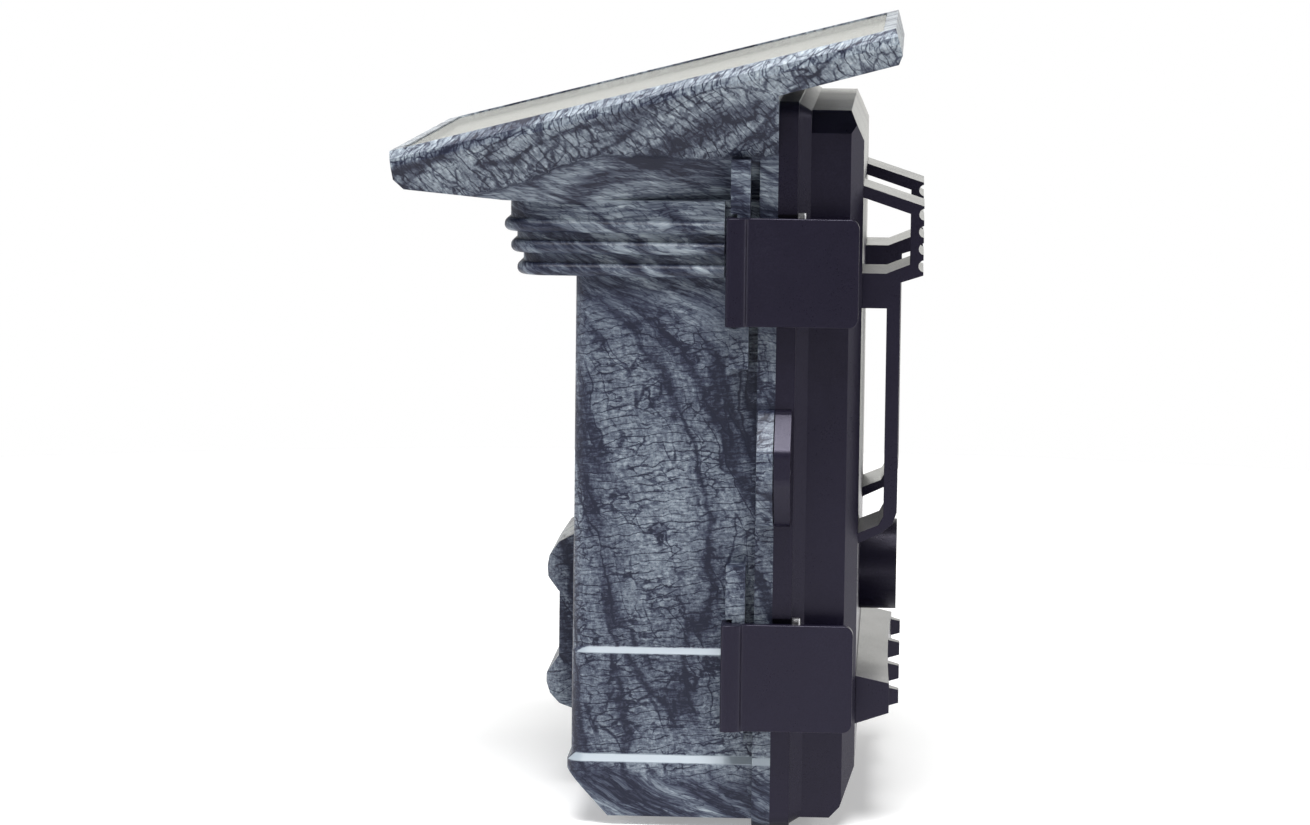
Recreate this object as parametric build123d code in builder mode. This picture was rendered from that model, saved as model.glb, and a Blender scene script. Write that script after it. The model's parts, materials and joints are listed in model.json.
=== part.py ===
from build123d import *
import os
from math import atan2, cos, sin

# Solar trail camera: a camouflage front case with a flared solar head, closed by a black rear shell.
# Z = 0 is the ground under the flange, X = 0 the middle. The tripod socket's mouth is the origin,
# so it lies SPLIT_Y in front of the parting plane of the two shells. The front faces -Y.

SPLIT_Y = 20.0
WALL = 2.2


def back(offset):
    """The Y of a point this far behind the parting plane; negative is in front of it."""
    return SPLIT_Y + offset


# Front case
BODY_HALF = 49.0
BODY_FRONT = back(-38.7)
BODY_BOTTOM = 1.8
BODY_TOP = 121.0
MIDDLE_TIER = (50.2, 33.4)
BASE_TIER = (51.4, 12.4)
BASE_FRONT = back(-39.4)
STEP = 1.2
CORNER = 3.5
FLANGE_HALF = 52.0
FLANGE_TOP = 140.0
FLANGE_CORNER = 3.0
FRONT_FLANGE = 3.5
REAR_FLANGE = 3.7
CAVITY_HALF = 46.8
CAVITY_BOTTOM = 4.0
CAVITY_TOP = 118.0
UNDERCUT_REAR = back(-31.3)
UNDERCUT_TOP = 10.6

# Ridged visor band: half width, front edge and lower edge of each tier, and the bead along its foot
VISOR_TOP = 120.8
VISOR_TIERS = ((51.4, -51.4, 114.5), (50.7, -50.2, 110.4), (50.0, -49.0, 106.1))
VISOR_BACK = back(-2.0)
VISOR_END = back(-10.1)
VISOR_CORNER = 6.0
VISOR_HOLLOW = (back(-47.2), 108.8)
BEAD_OUT = 1.1
BEAD_HEIGHT = 2.5
BEAD_ROUND = 1.15

# Solar head
HEAD_HALF = 61.0
HEAD_FRONT = (back(-73.4), 130.0)
HEAD_REAR = (back(21.84), 154.4)
HEAD_TILT = atan2(HEAD_REAR[1] - HEAD_FRONT[1], HEAD_REAR[0] - HEAD_FRONT[0])
HEAD_RIM = 3.0
HEAD_FLARE = 0.6
HEAD_DEPTH = 36.0
HEAD_LENGTH = (HEAD_REAR[0] - HEAD_FRONT[0]) / cos(HEAD_TILT)
HEAD_CHAMFER = 1.5
HEAD_PROFILE = [
    HEAD_FRONT, (back(-72.7), 124.6), (back(-70.8), 122.7), (back(-52.3), 120.7), (back(-30.0), 119.6),
    (back(0.0), 119.0), (back(0.0), 141.4), (back(22.5), 147.5), (back(23.2), 149.3), HEAD_REAR,
]
POCKET_HALF = 45.5
POCKET_FRONT = back(-67.0)
POCKET_STEP = back(-50.0)
POCKET_REAR = back(-4.0)
POCKET_FLOOR = (125.4, 123.2, 122.8)
POCKET_SKIN = 4.0
PANEL_MARGIN = 2.4
PANEL_RECESS = 2.6
PANEL_WINDOW = (49.0, (14.0, 66.0), (0.0, 5.0))
COVER_GAP = 0.3
COVER_THICKNESS = 1.2
WIRE_HOLE = (back(-20), 3.0)
PACK_XS = (-20.0, 0.0, 20.0)
PACK_HALF = 9.5
PACK_R = 4.6
PACK_AXIS = (back(-30.0), 129.0)
PACK_REAR = back(-10.0)
CHARGER = ((-20.0, 20.0), (back(-60.0), back(-42.0)), (125.0, 126.6))
CHARGER_CHIP = ((-12.0, -4.0), (back(-56.0), back(-48.0)), (126.6, 128.2))

# Rear shell
SHELL_HALF = 49.5
SHELL_FLAT_HALF = 46.0
SHELL_REAR = back(16.1)
SHELL_TOP = 138.2
SHELL_BOTTOM = 1.9
SHELL_FOOT = ((4.7, 0.0), (2.7, 2.1), (0.0, 9.6))
SHELL_BROW = ((0.0, 5.7), (2.5, 0.0))
SHELL_SIDE = 2.4
SHELL_SHOULDER = (4.2, 4.0)
SHOULDER_OUT = 1.5
SHOULDER_DEPTH = 2.4
SHOULDER_SLOPE = 32
SEAL_GROOVE = (49.0, 2.6, 3.0)
SEAL_LAND = 1.2
SEAL_CLEAR = 0.1

# Latches
LATCH_CENTRES = (30.1, 107.8)
LATCH_HEIGHT = 20.6
LATCH_Y = (back(-9.6), back(15.6))
LATCH_X = (55.0, 57.0)
LATCH_PIN = (53.0, back(4.6))
LATCH_PIN_R = 0.9
LATCH_BARREL_R = 1.9
LATCH_LUG = 4.0
LUG_R = 1.8
RUNNING = 0.07
KEEPER_Y = (back(-8.9), back(-5.2))
KEEPER_X = 54.6
KEEPERS = ((17.0, 51.1), (89.2, 129.0))
NOTCH_X = 50.8
NOTCH_REACH = 0.5
BARREL_REACH = 9.4
LIP_X = 51.5
LIP_REAR = back(-7.9)
HUMP_CROWN = (58.6, back(-7.6))
HUMP_EDGE = 0.9
HUMP_FALL = (57.9, back(-5.9))
HUMP_END = back(-3.8)

# Case hinge on the far side
HINGE_X = -55.8
HINGE_CENTRES = (30.0, 105.0)
KNUCKLE_R = 3.5
HINGE_PIN_R = 1.5
HINGE_LUG = 4.0
HINGE_HALF = 12.0
HINGE_GAP = 0.2

# Padlock ears
EAR_X = (50.5, 60.4)
EAR_Z = (58.8, 81.2)
EAR_SHOULDER = 53.4
EAR_NOSE = 3.0
EAR_ROUND = 2.6
EAR_HOLE = (55.8, 71.0)
EAR_HOLE_R = 2.6
EAR_THICKNESS = 3.2

# Tree bracket
LADDER_X = (24.0, 45.5)
LADDER_PROFILE = [
    (back(16.1), 123.9), (back(27.8), 120.1), (back(27.8), 106.8), (back(23.5), 105.4),
    (back(23.5), 61.0), (back(22.7), 58.8), (back(20.6), 57.0), (back(16.1), 54.9),
    (back(16.1), 56.9), (back(20.0), 58.5), (back(20.9), 60.2), (back(20.9), 100.4),
    (back(16.1), 100.4), (back(16.1), 107.1), (back(20.7), 107.1), (back(25.2), 108.9),
    (back(25.2), 118.6), (back(16.1), 121.6),
]
TOOTH_Y = back(28.0)
TOOTH_PITCH = 3.3
TOOTH_TOP = 118.5
TOOTH_COUNT = 4
TOOTH_R = 1.15
BOSS_Z = 44.6
BOSS_R = 9.1
BOSS_REAR = back(23.5)
CLEAT_X = (-43.0, -14.5, 14.5, 43.0)
CLEAT_Z = 25.0
CLEAT_SIDE = 3.8
CLEAT_ROOT = back(21.9)
CLEAT_LENGTH = 2.5
CLEAT_TAPER = 14
FOOT_BAR_PROFILE = [(back(16.1), 29.1), (back(22.6), 27.7), (back(22.6), 21.9), (back(16.1), 19.7)]
FOOT_BAR_HOLLOW = back(22.0)
BRACKET_SCREWS = [(x, z) for x in (-40.0, -30.0, 30.0, 40.0) for z in (103.6, 24.6)]
SCREW_HEAD = (back(11.9), back(13.9), 2.8)
SCREW_SHANK = (back(13.9), back(19.5), 1.4)

# Tripod sockets, 1/4-20 tapped
THREAD_R = 2.55
INSERT_R = 4.5
FOOT_R = 9.0
FOOT_DEPTH = 9.0
FOOT_INSERT = 7.4
REAR_INSERT = 8.4

# Inner panel and what it carries
PANEL_Y = (back(-9.5), back(-7.3))
PANEL_HALF = 45.9
PANEL_Z = (4.8, 117.2)
SCREEN = (24.5, (83.0, 113.0))
KEY_XS = (-26.0, -13.0, 0.0, 13.0, 26.0)
KEY_Z = 73.5
KEY_R = 3.5
KEY_GAP = 0.3
SWITCH_X = 35.5
SWITCH_Z = (92.0, 108.0)
CARD_X = (-41.0, -38.8)
CARD_Z = (84.0, 108.0)
CARD_Y = (back(-35.5), back(-3.5))
POSTS = [(x, z) for x in (-43.2, 43.2) for z in (12.0, 66.0, 113.0)]
POST_FRONT = back(-30.0)
POST_R = 2.8
PANEL_SCREW_R = 1.25
PANEL_SCREW_LENGTH = 8.0
PANEL_HEAD_R = 2.3
PANEL_HEAD = 1.4
TRAY_HALF = 32.0
TRAY_Z = (9.6, 65.6)
TRAY_Y = (back(-26.5), back(-7.3))
TRAY_WALL = 1.6
CELL_R = 7.1
CELL_PITCH = 15.0
CELL_Y = back(-16.6)
CELL_Z = (13.2, 61.7)
COVER_Y = (back(-7.1), back(-5.1))
BOARD_Y = (back(-14.2), back(-12.6))

# Camera eye and lamps on the front face
LENS_Z = 84.0
LENS_HOLE_R = 10.0
WINDOW_HALF = 40.5
WINDOW_Z = (57.0, 102.5)
WINDOW_DEPTH = 1.3
LAMP_BOARD_Y = (back(-32.0), back(-30.6))
LAMP_R = 2.5
LAMP_LENGTH = 5.2

# Motion sensor
BEZEL_HALF = 18.0
SENSOR_Z = 34.0
SENSOR_HALF_Z = 7.4
SENSOR_HALF_X = 12.5

# Port plug on the far side
PORT_Y = (back(-30.0), back(-16.0))
PORT_Z = (42.0, 56.0)


def centred(low, high):
    """The middle and the length of a span."""
    return (low + high) / 2, high - low


def block(x, y, z, mode=Mode.ADD):
    """A box between spans of x, y and z."""
    (cx, width), (cy, depth), (cz, height) = centred(*x), centred(*y), centred(*z)
    with Locations((cx, cy, cz)):
        Box(width, depth, height, mode=mode)


def outline(plane, points):
    """A closed straight-sided face on a plane."""
    with BuildSketch(plane) as sketch:
        with BuildLine():
            Polyline(*points, close=True)
        make_face()
    return sketch.sketch


def slab_x(points, x, mode=Mode.ADD):
    """A slab along X with the given (y, z) outline."""
    extrude(outline(Plane.YZ.offset(x[0]), points), amount=x[1] - x[0], mode=mode)


def slab_y(points, y, mode=Mode.ADD):
    """A slab along Y with the given (x, z) outline."""
    extrude(outline(Plane.XZ.offset(-y[0]), points), amount=y[0] - y[1], mode=mode)


def slab_z(points, z, mode=Mode.ADD):
    """A slab along Z with the given (x, y) outline."""
    extrude(outline(Plane.XY.offset(z[0]), points), amount=z[1] - z[0], mode=mode)


def rod(plane, centre, radius, length, mode=Mode.ADD):
    """A round rod that starts on a plane and runs along its normal."""
    with BuildSketch(plane) as section:
        with Locations(centre):
            Circle(radius)
    extrude(section.sketch, amount=length, mode=mode)


def rod_x(centre, x, radius, mode=Mode.ADD):
    """A rod along X at a (y, z) centre."""
    rod(Plane.YZ.offset(x[0]), centre, radius, x[1] - x[0], mode)


def rod_y(centre, y, radius, mode=Mode.ADD):
    """A rod along Y at an (x, z) centre."""
    rod(Plane.XZ.offset(-y[0]), centre, radius, y[0] - y[1], mode)


def rod_z(centre, z, radius, mode=Mode.ADD):
    """A rod along Z at an (x, y) centre."""
    rod(Plane.XY.offset(z[0]), centre, radius, z[1] - z[0], mode)


def round_slab(half, y, z, corner, taper=0.0, mode=Mode.ADD):
    """A slab along Z, symmetric about X = 0, with rounded upright edges."""
    middle, depth = centred(*y)
    with BuildSketch(Plane.XY.offset(z[0])) as section:
        with Locations((0, middle)):
            RectangleRounded(2 * half, depth, corner)
    extrude(section.sketch, amount=z[1] - z[0], taper=taper, mode=mode)


def plate(half, z, y, corner, mode=Mode.ADD):
    """A plate across Y, symmetric about X = 0, with rounded corners."""
    middle, height = centred(*z)
    with BuildSketch(Plane.XZ.offset(-y[0])) as section:
        with Locations((0, middle)):
            RectangleRounded(2 * half, height, corner)
    extrude(section.sketch, amount=y[0] - y[1], mode=mode)


def head_top(y):
    """The height of the solar head's top face at a given Y."""
    return HEAD_FRONT[1] + (y - HEAD_FRONT[0]) * sin(HEAD_TILT) / cos(HEAD_TILT)


def head_plane(depth):
    """A plane parallel to the head's top and this far below it, normal upwards."""
    return Plane(
        origin=(0, HEAD_FRONT[0] + depth * sin(HEAD_TILT), HEAD_FRONT[1] - depth * cos(HEAD_TILT)),
        x_dir=(1, 0, 0),
        z_dir=(0, -sin(HEAD_TILT), cos(HEAD_TILT)),
    )


def head_block(half, along, depth, corner, mode=Mode.ADD):
    """A box in the head's tilted frame, between spans along the slope and below the top."""
    middle, length = centred(*along)
    with BuildSketch(head_plane(depth[1])) as section:
        with Locations((0, middle)):
            RectangleRounded(2 * half, length, corner)
    extrude(section.sketch, amount=depth[1] - depth[0], mode=mode)


def latch_span(centre, margin=0.0):
    """The Z span of a latch, widened by a margin."""
    return centre - LATCH_HEIGHT / 2 - margin, centre + LATCH_HEIGHT / 2 + margin


def ear(y):
    """A padlock ear: a lobe with a blunt nose and its hole."""
    with BuildSketch(Plane.XZ.offset(-y[0])) as face:
        with BuildLine():
            Polyline(
                (EAR_X[0], EAR_Z[0]),
                (EAR_SHOULDER, EAR_Z[0]),
                (EAR_X[1], EAR_HOLE[1] - EAR_NOSE),
                (EAR_X[1], EAR_HOLE[1] + EAR_NOSE),
                (EAR_SHOULDER, EAR_Z[1]),
                (EAR_X[0], EAR_Z[1]),
                close=True,
            )
        make_face()
        fillet([corner for corner in face.vertices() if corner.X > EAR_X[0] + 1], EAR_ROUND)
        with Locations(EAR_HOLE):
            Circle(EAR_HOLE_R, mode=Mode.SUBTRACT)
    extrude(face.sketch, amount=y[0] - y[1])


def bead(half, front, bottom):
    """A rounded bead round the front and sides of the visor."""
    with BuildPart(mode=Mode.PRIVATE) as roll:
        round_slab(half, (front, VISOR_BACK), (bottom, bottom + BEAD_HEIGHT), VISOR_CORNER)
        fillet(roll.faces().filter_by(Axis.Z).edges(), BEAD_ROUND)
    add(roll.part)


def bracket_screw_set(mode=Mode.ADD):
    """The screws that hold the bracket, or the room they take."""
    for place in BRACKET_SCREWS:
        rod_y(place, SCREW_HEAD[:2], SCREW_HEAD[2], mode)
        rod_y(place, SCREW_SHANK[:2], SCREW_SHANK[2], mode)


def panel_screw_set(mode=Mode.ADD):
    """The screws that hold the inner panel, or the room they take."""
    for place in POSTS:
        rod_y(place, (PANEL_Y[0] - PANEL_SCREW_LENGTH, PANEL_Y[1]), PANEL_SCREW_R, mode)
        rod_y(place, (PANEL_Y[1], PANEL_Y[1] + PANEL_HEAD), PANEL_HEAD_R, mode)


# ---------------------------------------------------------------- front case

with BuildPart() as solar_head_form:
    slab_x(HEAD_PROFILE, (-HEAD_HALF, HEAD_HALF))
    foot_half = HEAD_HALF - HEAD_FLARE * (HEAD_DEPTH - HEAD_RIM)
    slope = Plane(
        origin=(0, HEAD_FRONT[0] - HEAD_LENGTH * cos(HEAD_TILT),
                HEAD_FRONT[1] - HEAD_LENGTH * sin(HEAD_TILT)),
        x_dir=(1, 0, 0),
        z_dir=(0, cos(HEAD_TILT), sin(HEAD_TILT)),
    )
    with BuildSketch(slope) as flare:
        with BuildLine():
            Polyline(
                (-HEAD_HALF + HEAD_CHAMFER, -0.01),
                (-HEAD_HALF, HEAD_CHAMFER),
                (-HEAD_HALF, HEAD_RIM),
                (-foot_half, HEAD_DEPTH),
                (foot_half, HEAD_DEPTH),
                (HEAD_HALF, HEAD_RIM),
                (HEAD_HALF, HEAD_CHAMFER),
                (HEAD_HALF - HEAD_CHAMFER, -0.01),
                close=True,
            )
        make_face()
    extrude(flare.sketch, amount=3 * HEAD_LENGTH, mode=Mode.INTERSECT)

with BuildPart() as front_cavity:
    round_slab(CAVITY_HALF, (BODY_FRONT + WALL, back(8)), (CAVITY_BOTTOM, CAVITY_TOP), 2.0)
    slab_x(
        [(BODY_FRONT, CAVITY_BOTTOM - 1), (back(-29.2), CAVITY_BOTTOM - 1), (back(-29.2), CAVITY_BOTTOM),
         (BODY_FRONT + WALL, 11.6), (BODY_FRONT, 11.6)],
        (-HEAD_HALF, HEAD_HALF), mode=Mode.SUBTRACT,
    )
    round_slab(CAVITY_HALF, (VISOR_HOLLOW[0], back(-30)), (VISOR_HOLLOW[1], CAVITY_TOP), 4.0)

with BuildPart() as front_case:
    round_slab(BODY_HALF, (BODY_FRONT, back(10)), (BODY_BOTTOM, BODY_TOP), CORNER)
    for half, top in (MIDDLE_TIER, BASE_TIER):
        front = BASE_FRONT if half == BASE_TIER[0] else BODY_FRONT
        round_slab(half, (front, back(10)), (BODY_BOTTOM, top), CORNER)
        round_slab(half, (front, back(10)), (top, top + STEP), CORNER, taper=45)
    slab_x(
        [(BASE_FRONT - 1, UNDERCUT_TOP), (BASE_FRONT - 1, 0), (UNDERCUT_REAR, 0),
         (UNDERCUT_REAR, BODY_BOTTOM), (BASE_FRONT, UNDERCUT_TOP)],
        (-HEAD_HALF, HEAD_HALF), mode=Mode.SUBTRACT,
    )
    for half, front, bottom in VISOR_TIERS:
        round_slab(half, (back(front), VISOR_BACK), (bottom + BEAD_ROUND, VISOR_TOP), VISOR_CORNER)
        bead(half + BEAD_OUT, back(front) - BEAD_OUT, bottom)
    for side in ((-HEAD_HALF, -BODY_HALF), (BODY_HALF, HEAD_HALF)):
        block(side, (VISOR_END, back(0)), (BODY_BOTTOM + MIDDLE_TIER[1], BODY_TOP), mode=Mode.SUBTRACT)
    plate(FLANGE_HALF, (0.0, FLANGE_TOP), (back(-FRONT_FLANGE), back(0)), FLANGE_CORNER)
    add(solar_head_form.part)
    block((-80, 80), (back(0), back(12)), (0, 141), mode=Mode.SUBTRACT)
    for low, high in KEEPERS:
        block((BODY_HALF - 1, KEEPER_X), KEEPER_Y, (low, high))
    for centre in LATCH_CENTRES:
        block((51.1, 60), (KEEPER_Y[0] - 1, back(-7.6)), latch_span(centre, 0.6), mode=Mode.SUBTRACT)
    rod_z((0, 0), (0.0, FOOT_DEPTH), FOOT_R)
    add(front_cavity.part, mode=Mode.SUBTRACT)
    rod_z((0, 0), (CAVITY_BOTTOM - 1, FOOT_DEPTH), FOOT_R)
    rod_z((0, 0), (-1, FOOT_DEPTH + 1), INSERT_R, mode=Mode.SUBTRACT)
    slab_x(
        [(POCKET_FRONT, POCKET_FLOOR[0]), (POCKET_STEP, POCKET_FLOOR[1]), (POCKET_REAR, POCKET_FLOOR[2]),
         (POCKET_REAR, head_top(POCKET_REAR) - POCKET_SKIN),
         (POCKET_FRONT, head_top(POCKET_FRONT) - POCKET_SKIN)],
        (-POCKET_HALF, POCKET_HALF), mode=Mode.SUBTRACT,
    )
    head_block(HEAD_HALF - PANEL_MARGIN, (PANEL_MARGIN, HEAD_LENGTH - PANEL_MARGIN),
               (-1.0, PANEL_RECESS), 2.0, mode=Mode.SUBTRACT)
    head_block(*PANEL_WINDOW, 2.0, mode=Mode.SUBTRACT)
    rod_z((0, WIRE_HOLE[0]), (CAVITY_TOP - 1, 124), WIRE_HOLE[1], mode=Mode.SUBTRACT)
    plate(WINDOW_HALF, WINDOW_Z, (BODY_FRONT - 1, BODY_FRONT + WINDOW_DEPTH), 5.0, mode=Mode.SUBTRACT)
    plate(WINDOW_HALF - 3, (WINDOW_Z[0] + 3, WINDOW_Z[1] - 3), (BODY_FRONT - 1, BODY_FRONT + 6), 3.0,
          mode=Mode.SUBTRACT)
    plate(SENSOR_HALF_X + 1, (SENSOR_Z - 10, SENSOR_Z + 10), (BODY_FRONT - 1, BODY_FRONT + 6), 2.0,
          mode=Mode.SUBTRACT)
    block((-60, -CAVITY_HALF + 1), PORT_Y, PORT_Z, mode=Mode.SUBTRACT)
    ear((back(-EAR_THICKNESS), back(-0.1)))
    for centre in HINGE_CENTRES:
        for low, high in ((-HINGE_HALF, -HINGE_LUG - HINGE_GAP), (HINGE_LUG + HINGE_GAP, HINGE_HALF)):
            span = (centre + low, centre + high)
            block((HINGE_X, -51.5), (back(-FRONT_FLANGE), back(-0.6)), span)
            rod_z((HINGE_X, back(0)), span, KNUCKLE_R)
            rod_z((HINGE_X, back(0)), span, HINGE_PIN_R + RUNNING, mode=Mode.SUBTRACT)
    for x, z in POSTS:
        rod_y((x, z), (POST_FRONT, PANEL_Y[0]), POST_R)
        wall = CAVITY_HALF + 0.5 if x > 0 else -CAVITY_HALF - 0.5
        block(sorted((x, wall)), (POST_FRONT, PANEL_Y[0]), (z - 1, z + 1))
    panel_screw_set(Mode.SUBTRACT)

with BuildPart() as solar_panel:
    head_block(HEAD_HALF - PANEL_MARGIN - 0.3, (PANEL_MARGIN + 0.3, HEAD_LENGTH - PANEL_MARGIN - 0.3),
               (COVER_GAP + COVER_THICKNESS + 0.1, PANEL_RECESS), 1.8)

with BuildPart() as solar_cover:
    head_block(HEAD_HALF - PANEL_MARGIN - 0.2, (PANEL_MARGIN + 0.2, HEAD_LENGTH - PANEL_MARGIN - 0.2),
               (COVER_GAP, COVER_GAP + COVER_THICKNESS), 1.8)

with BuildPart() as lithium_pack:
    for x in PACK_XS:
        span = (x - PACK_HALF, x + PACK_HALF)
        rod_x(PACK_AXIS, span, PACK_R)
        block(span, (PACK_AXIS[0], PACK_REAR), (PACK_AXIS[1] - PACK_R, PACK_AXIS[1] + PACK_R))

with BuildPart() as charging_board:
    block(*CHARGER)
    block(*CHARGER_CHIP)

# ---------------------------------------------------------------- rear shell


def shell_form(inset):
    """The chamfered tub, shrunk by an inset on its outer faces."""
    half, flat = SHELL_HALF - inset, SHELL_FLAT_HALF - inset
    rear, top, bottom = SHELL_REAR - inset, SHELL_TOP - inset, SHELL_BOTTOM + inset
    drop, run = SHELL_SHOULDER
    slab_x(
        [(back(0), bottom)]
        + [(rear - depth, bottom + height) for depth, height in SHELL_FOOT]
        + [(rear - depth, top - height) for depth, height in SHELL_BROW]
        + [(back(0), top)],
        (-half, half),
    )
    slab_z(
        [(-half, back(0)), (half, back(0)), (half, rear - SHELL_SIDE), (flat, rear), (-flat, rear),
         (-half, rear - SHELL_SIDE)],
        (0, FLANGE_TOP), mode=Mode.INTERSECT,
    )
    slab_y(
        [(-half, 0), (half, 0), (half, top - drop), (half - run, top), (run - half, top),
         (-half, top - drop)],
        (back(-1), back(20)), mode=Mode.INTERSECT,
    )


with BuildPart() as shell_core:
    shell_form(WALL)

with BuildPart() as rear_shell:
    shell_form(0.0)
    plate(FLANGE_HALF, (0.0, FLANGE_TOP), (back(0), back(REAR_FLANGE)), FLANGE_CORNER)
    middle, height = centred(SHELL_BOTTOM - SHOULDER_OUT, SHELL_TOP + SHOULDER_OUT)
    with BuildSketch(Plane.XZ.offset(-back(REAR_FLANGE))) as shoulder:
        with Locations((0, middle)):
            RectangleRounded(2 * (SHELL_HALF + SHOULDER_OUT), height, FLANGE_CORNER)
    extrude(shoulder.sketch, amount=-SHOULDER_DEPTH, taper=SHOULDER_SLOPE)
    rod_y((0, BOSS_Z), (back(12), BOSS_REAR), BOSS_R)
    for centre in LATCH_CENTRES:
        block((NOTCH_X, 60), (back(-1), back(8)), latch_span(centre, NOTCH_REACH), mode=Mode.SUBTRACT)
    add(shell_core.part, mode=Mode.SUBTRACT)
    plate(SEAL_GROOVE[0], (SEAL_GROOVE[1], FLANGE_TOP - SEAL_GROOVE[1]), (back(-1), back(SEAL_LAND)),
          SEAL_GROOVE[2], mode=Mode.SUBTRACT)
    plate(CAVITY_HALF + 0.2, (4.2, FLANGE_TOP - 4.2), (back(0), back(SEAL_LAND)), 1.5)
    block((-CAVITY_HALF + 0.6, CAVITY_HALF - 0.6), (back(-1), back(3)), (5.0, FLANGE_TOP - 5.0),
          mode=Mode.SUBTRACT)
    rod_y((0, BOSS_Z), (BOSS_REAR - REAR_INSERT - 1.5, BOSS_REAR), BOSS_R)
    rod_y((0, BOSS_Z), (BOSS_REAR - REAR_INSERT, BOSS_REAR + 1), INSERT_R, mode=Mode.SUBTRACT)
    for centre in LATCH_CENTRES:
        span = (centre - LATCH_LUG, centre + LATCH_LUG)
        block((NOTCH_X - 3, LATCH_PIN[0]), (LATCH_PIN[1] - LUG_R, LATCH_PIN[1] + LUG_R), span)
        rod_z(LATCH_PIN, span, LUG_R)
        rod_z(LATCH_PIN, span, LATCH_PIN_R, mode=Mode.SUBTRACT)
    ear((back(0.1), back(EAR_THICKNESS)))
    for centre in HINGE_CENTRES:
        span = (centre - HINGE_LUG, centre + HINGE_LUG)
        block((HINGE_X, -51.5), (back(0.6), back(FRONT_FLANGE)), span)
        rod_z((HINGE_X, back(0)), span, KNUCKLE_R)
        rod_z((HINGE_X, back(0)), span, HINGE_PIN_R, mode=Mode.SUBTRACT)
    bracket_screw_set(Mode.SUBTRACT)

with BuildPart() as seal:
    plate(SEAL_GROOVE[0] - SEAL_CLEAR,
          (SEAL_GROOVE[1] + SEAL_CLEAR, FLANGE_TOP - SEAL_GROOVE[1] - SEAL_CLEAR),
          (back(0.05), back(1.15)), SEAL_GROOVE[2] - SEAL_CLEAR)
    plate(CAVITY_HALF + 0.3, (4.1, FLANGE_TOP - 4.1), (back(-1), back(2)), 1.0, mode=Mode.SUBTRACT)


def ladder(x):
    """One bracket column: sloping top arm, toothed tip, web, strap bar and lower strut."""
    slab_x(LADDER_PROFILE, x)
    for index in range(TOOTH_COUNT):
        rod_x((TOOTH_Y, TOOTH_TOP - index * TOOTH_PITCH), x, TOOTH_R, mode=Mode.SUBTRACT)
    bracket_screw_set(Mode.SUBTRACT)


with BuildPart() as bracket_ladder_right:
    ladder(LADDER_X)

with BuildPart() as bracket_ladder_left:
    ladder((-LADDER_X[1], -LADDER_X[0]))

with BuildPart() as bracket_foot_bar:
    slab_x(FOOT_BAR_PROFILE, (-LADDER_X[1], LADDER_X[1]))
    edge = FOOT_BAR_PROFILE[1][0]
    with BuildSketch(Plane.XY.offset(FOOT_BAR_PROFILE[3][1] - 1)) as hollow_face:
        with BuildLine():
            ThreePointArc((-LADDER_X[1], edge), (0, FOOT_BAR_HOLLOW), (LADDER_X[1], edge))
            Line((LADDER_X[1], edge), (-LADDER_X[1], edge))
        make_face()
    extrude(hollow_face.sketch, amount=12, mode=Mode.SUBTRACT)
    for x in CLEAT_X:
        with BuildSketch(Plane.XZ.offset(-CLEAT_ROOT)) as cleat:
            with Locations((x, CLEAT_Z)):
                Rectangle(CLEAT_SIDE, CLEAT_SIDE)
        extrude(cleat.sketch, amount=-CLEAT_LENGTH, taper=CLEAT_TAPER)
    bracket_screw_set(Mode.SUBTRACT)

with BuildPart() as bracket_screws:
    bracket_screw_set()

# ---------------------------------------------------------------- latches and hinge pins


def latch(centre):
    """A rocker latch: plate, thumb tail, hump with hook lip, and two barrels on the pin."""
    low, high = latch_span(centre)
    middle = (LATCH_Y[0] + LATCH_Y[1]) / 2
    with BuildSketch(Plane.YZ.offset(LATCH_X[0])) as face:
        with Locations((middle, centre)):
            RectangleRounded(LATCH_Y[1] - LATCH_Y[0], LATCH_HEIGHT, 1.8)
        with Locations((LATCH_Y[0] + 3, centre)):
            Rectangle(6, LATCH_HEIGHT)
    extrude(face.sketch, amount=LATCH_X[1] - LATCH_X[0])
    with BuildSketch(Plane.XY.offset(low)) as wave:
        with BuildLine():
            Polyline((LATCH_X[1], HUMP_END), (LATCH_X[0], HUMP_END), (LATCH_X[0], LATCH_Y[0]),
                     (HUMP_CROWN[0] - HUMP_EDGE, LATCH_Y[0]))
            Spline((HUMP_CROWN[0] - HUMP_EDGE, LATCH_Y[0]), HUMP_CROWN, HUMP_FALL, (LATCH_X[1], HUMP_END),
                   tangents=((1, 0), (0, 1)))
        make_face()
    extrude(wave.sketch, amount=high - low)
    block((LIP_X, LATCH_X[1]), (LATCH_Y[0], LIP_REAR), (low, high))
    for z in ((centre - BARREL_REACH, centre - LATCH_LUG - 0.2),
              (centre + LATCH_LUG + 0.2, centre + BARREL_REACH)):
        rod_z(LATCH_PIN, z, LATCH_BARREL_R)
        block((LATCH_PIN[0], LATCH_X[0] + 0.5), (LATCH_PIN[1] - 1.4, LATCH_PIN[1] + 1.4), z)
        rod_z(LATCH_PIN, z, LATCH_PIN_R + RUNNING, mode=Mode.SUBTRACT)


with BuildPart() as latch_lower:
    latch(LATCH_CENTRES[0])

with BuildPart() as latch_upper:
    latch(LATCH_CENTRES[1])

with BuildPart() as latch_pins:
    for centre in LATCH_CENTRES:
        rod_z(LATCH_PIN, (centre - 9.8, centre + 11.2), LATCH_PIN_R)

with BuildPart() as hinge_pins:
    for centre in HINGE_CENTRES:
        rod_z((HINGE_X, back(0)), (centre - 12.4, centre + 12.4), HINGE_PIN_R)

# ---------------------------------------------------------------- tripod inserts

with BuildPart() as tripod_insert_bottom:
    rod_z((0, 0), (0.0, FOOT_INSERT), INSERT_R)
    rod_z((0, 0), (-1, FOOT_INSERT + 1), THREAD_R, mode=Mode.SUBTRACT)

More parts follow.
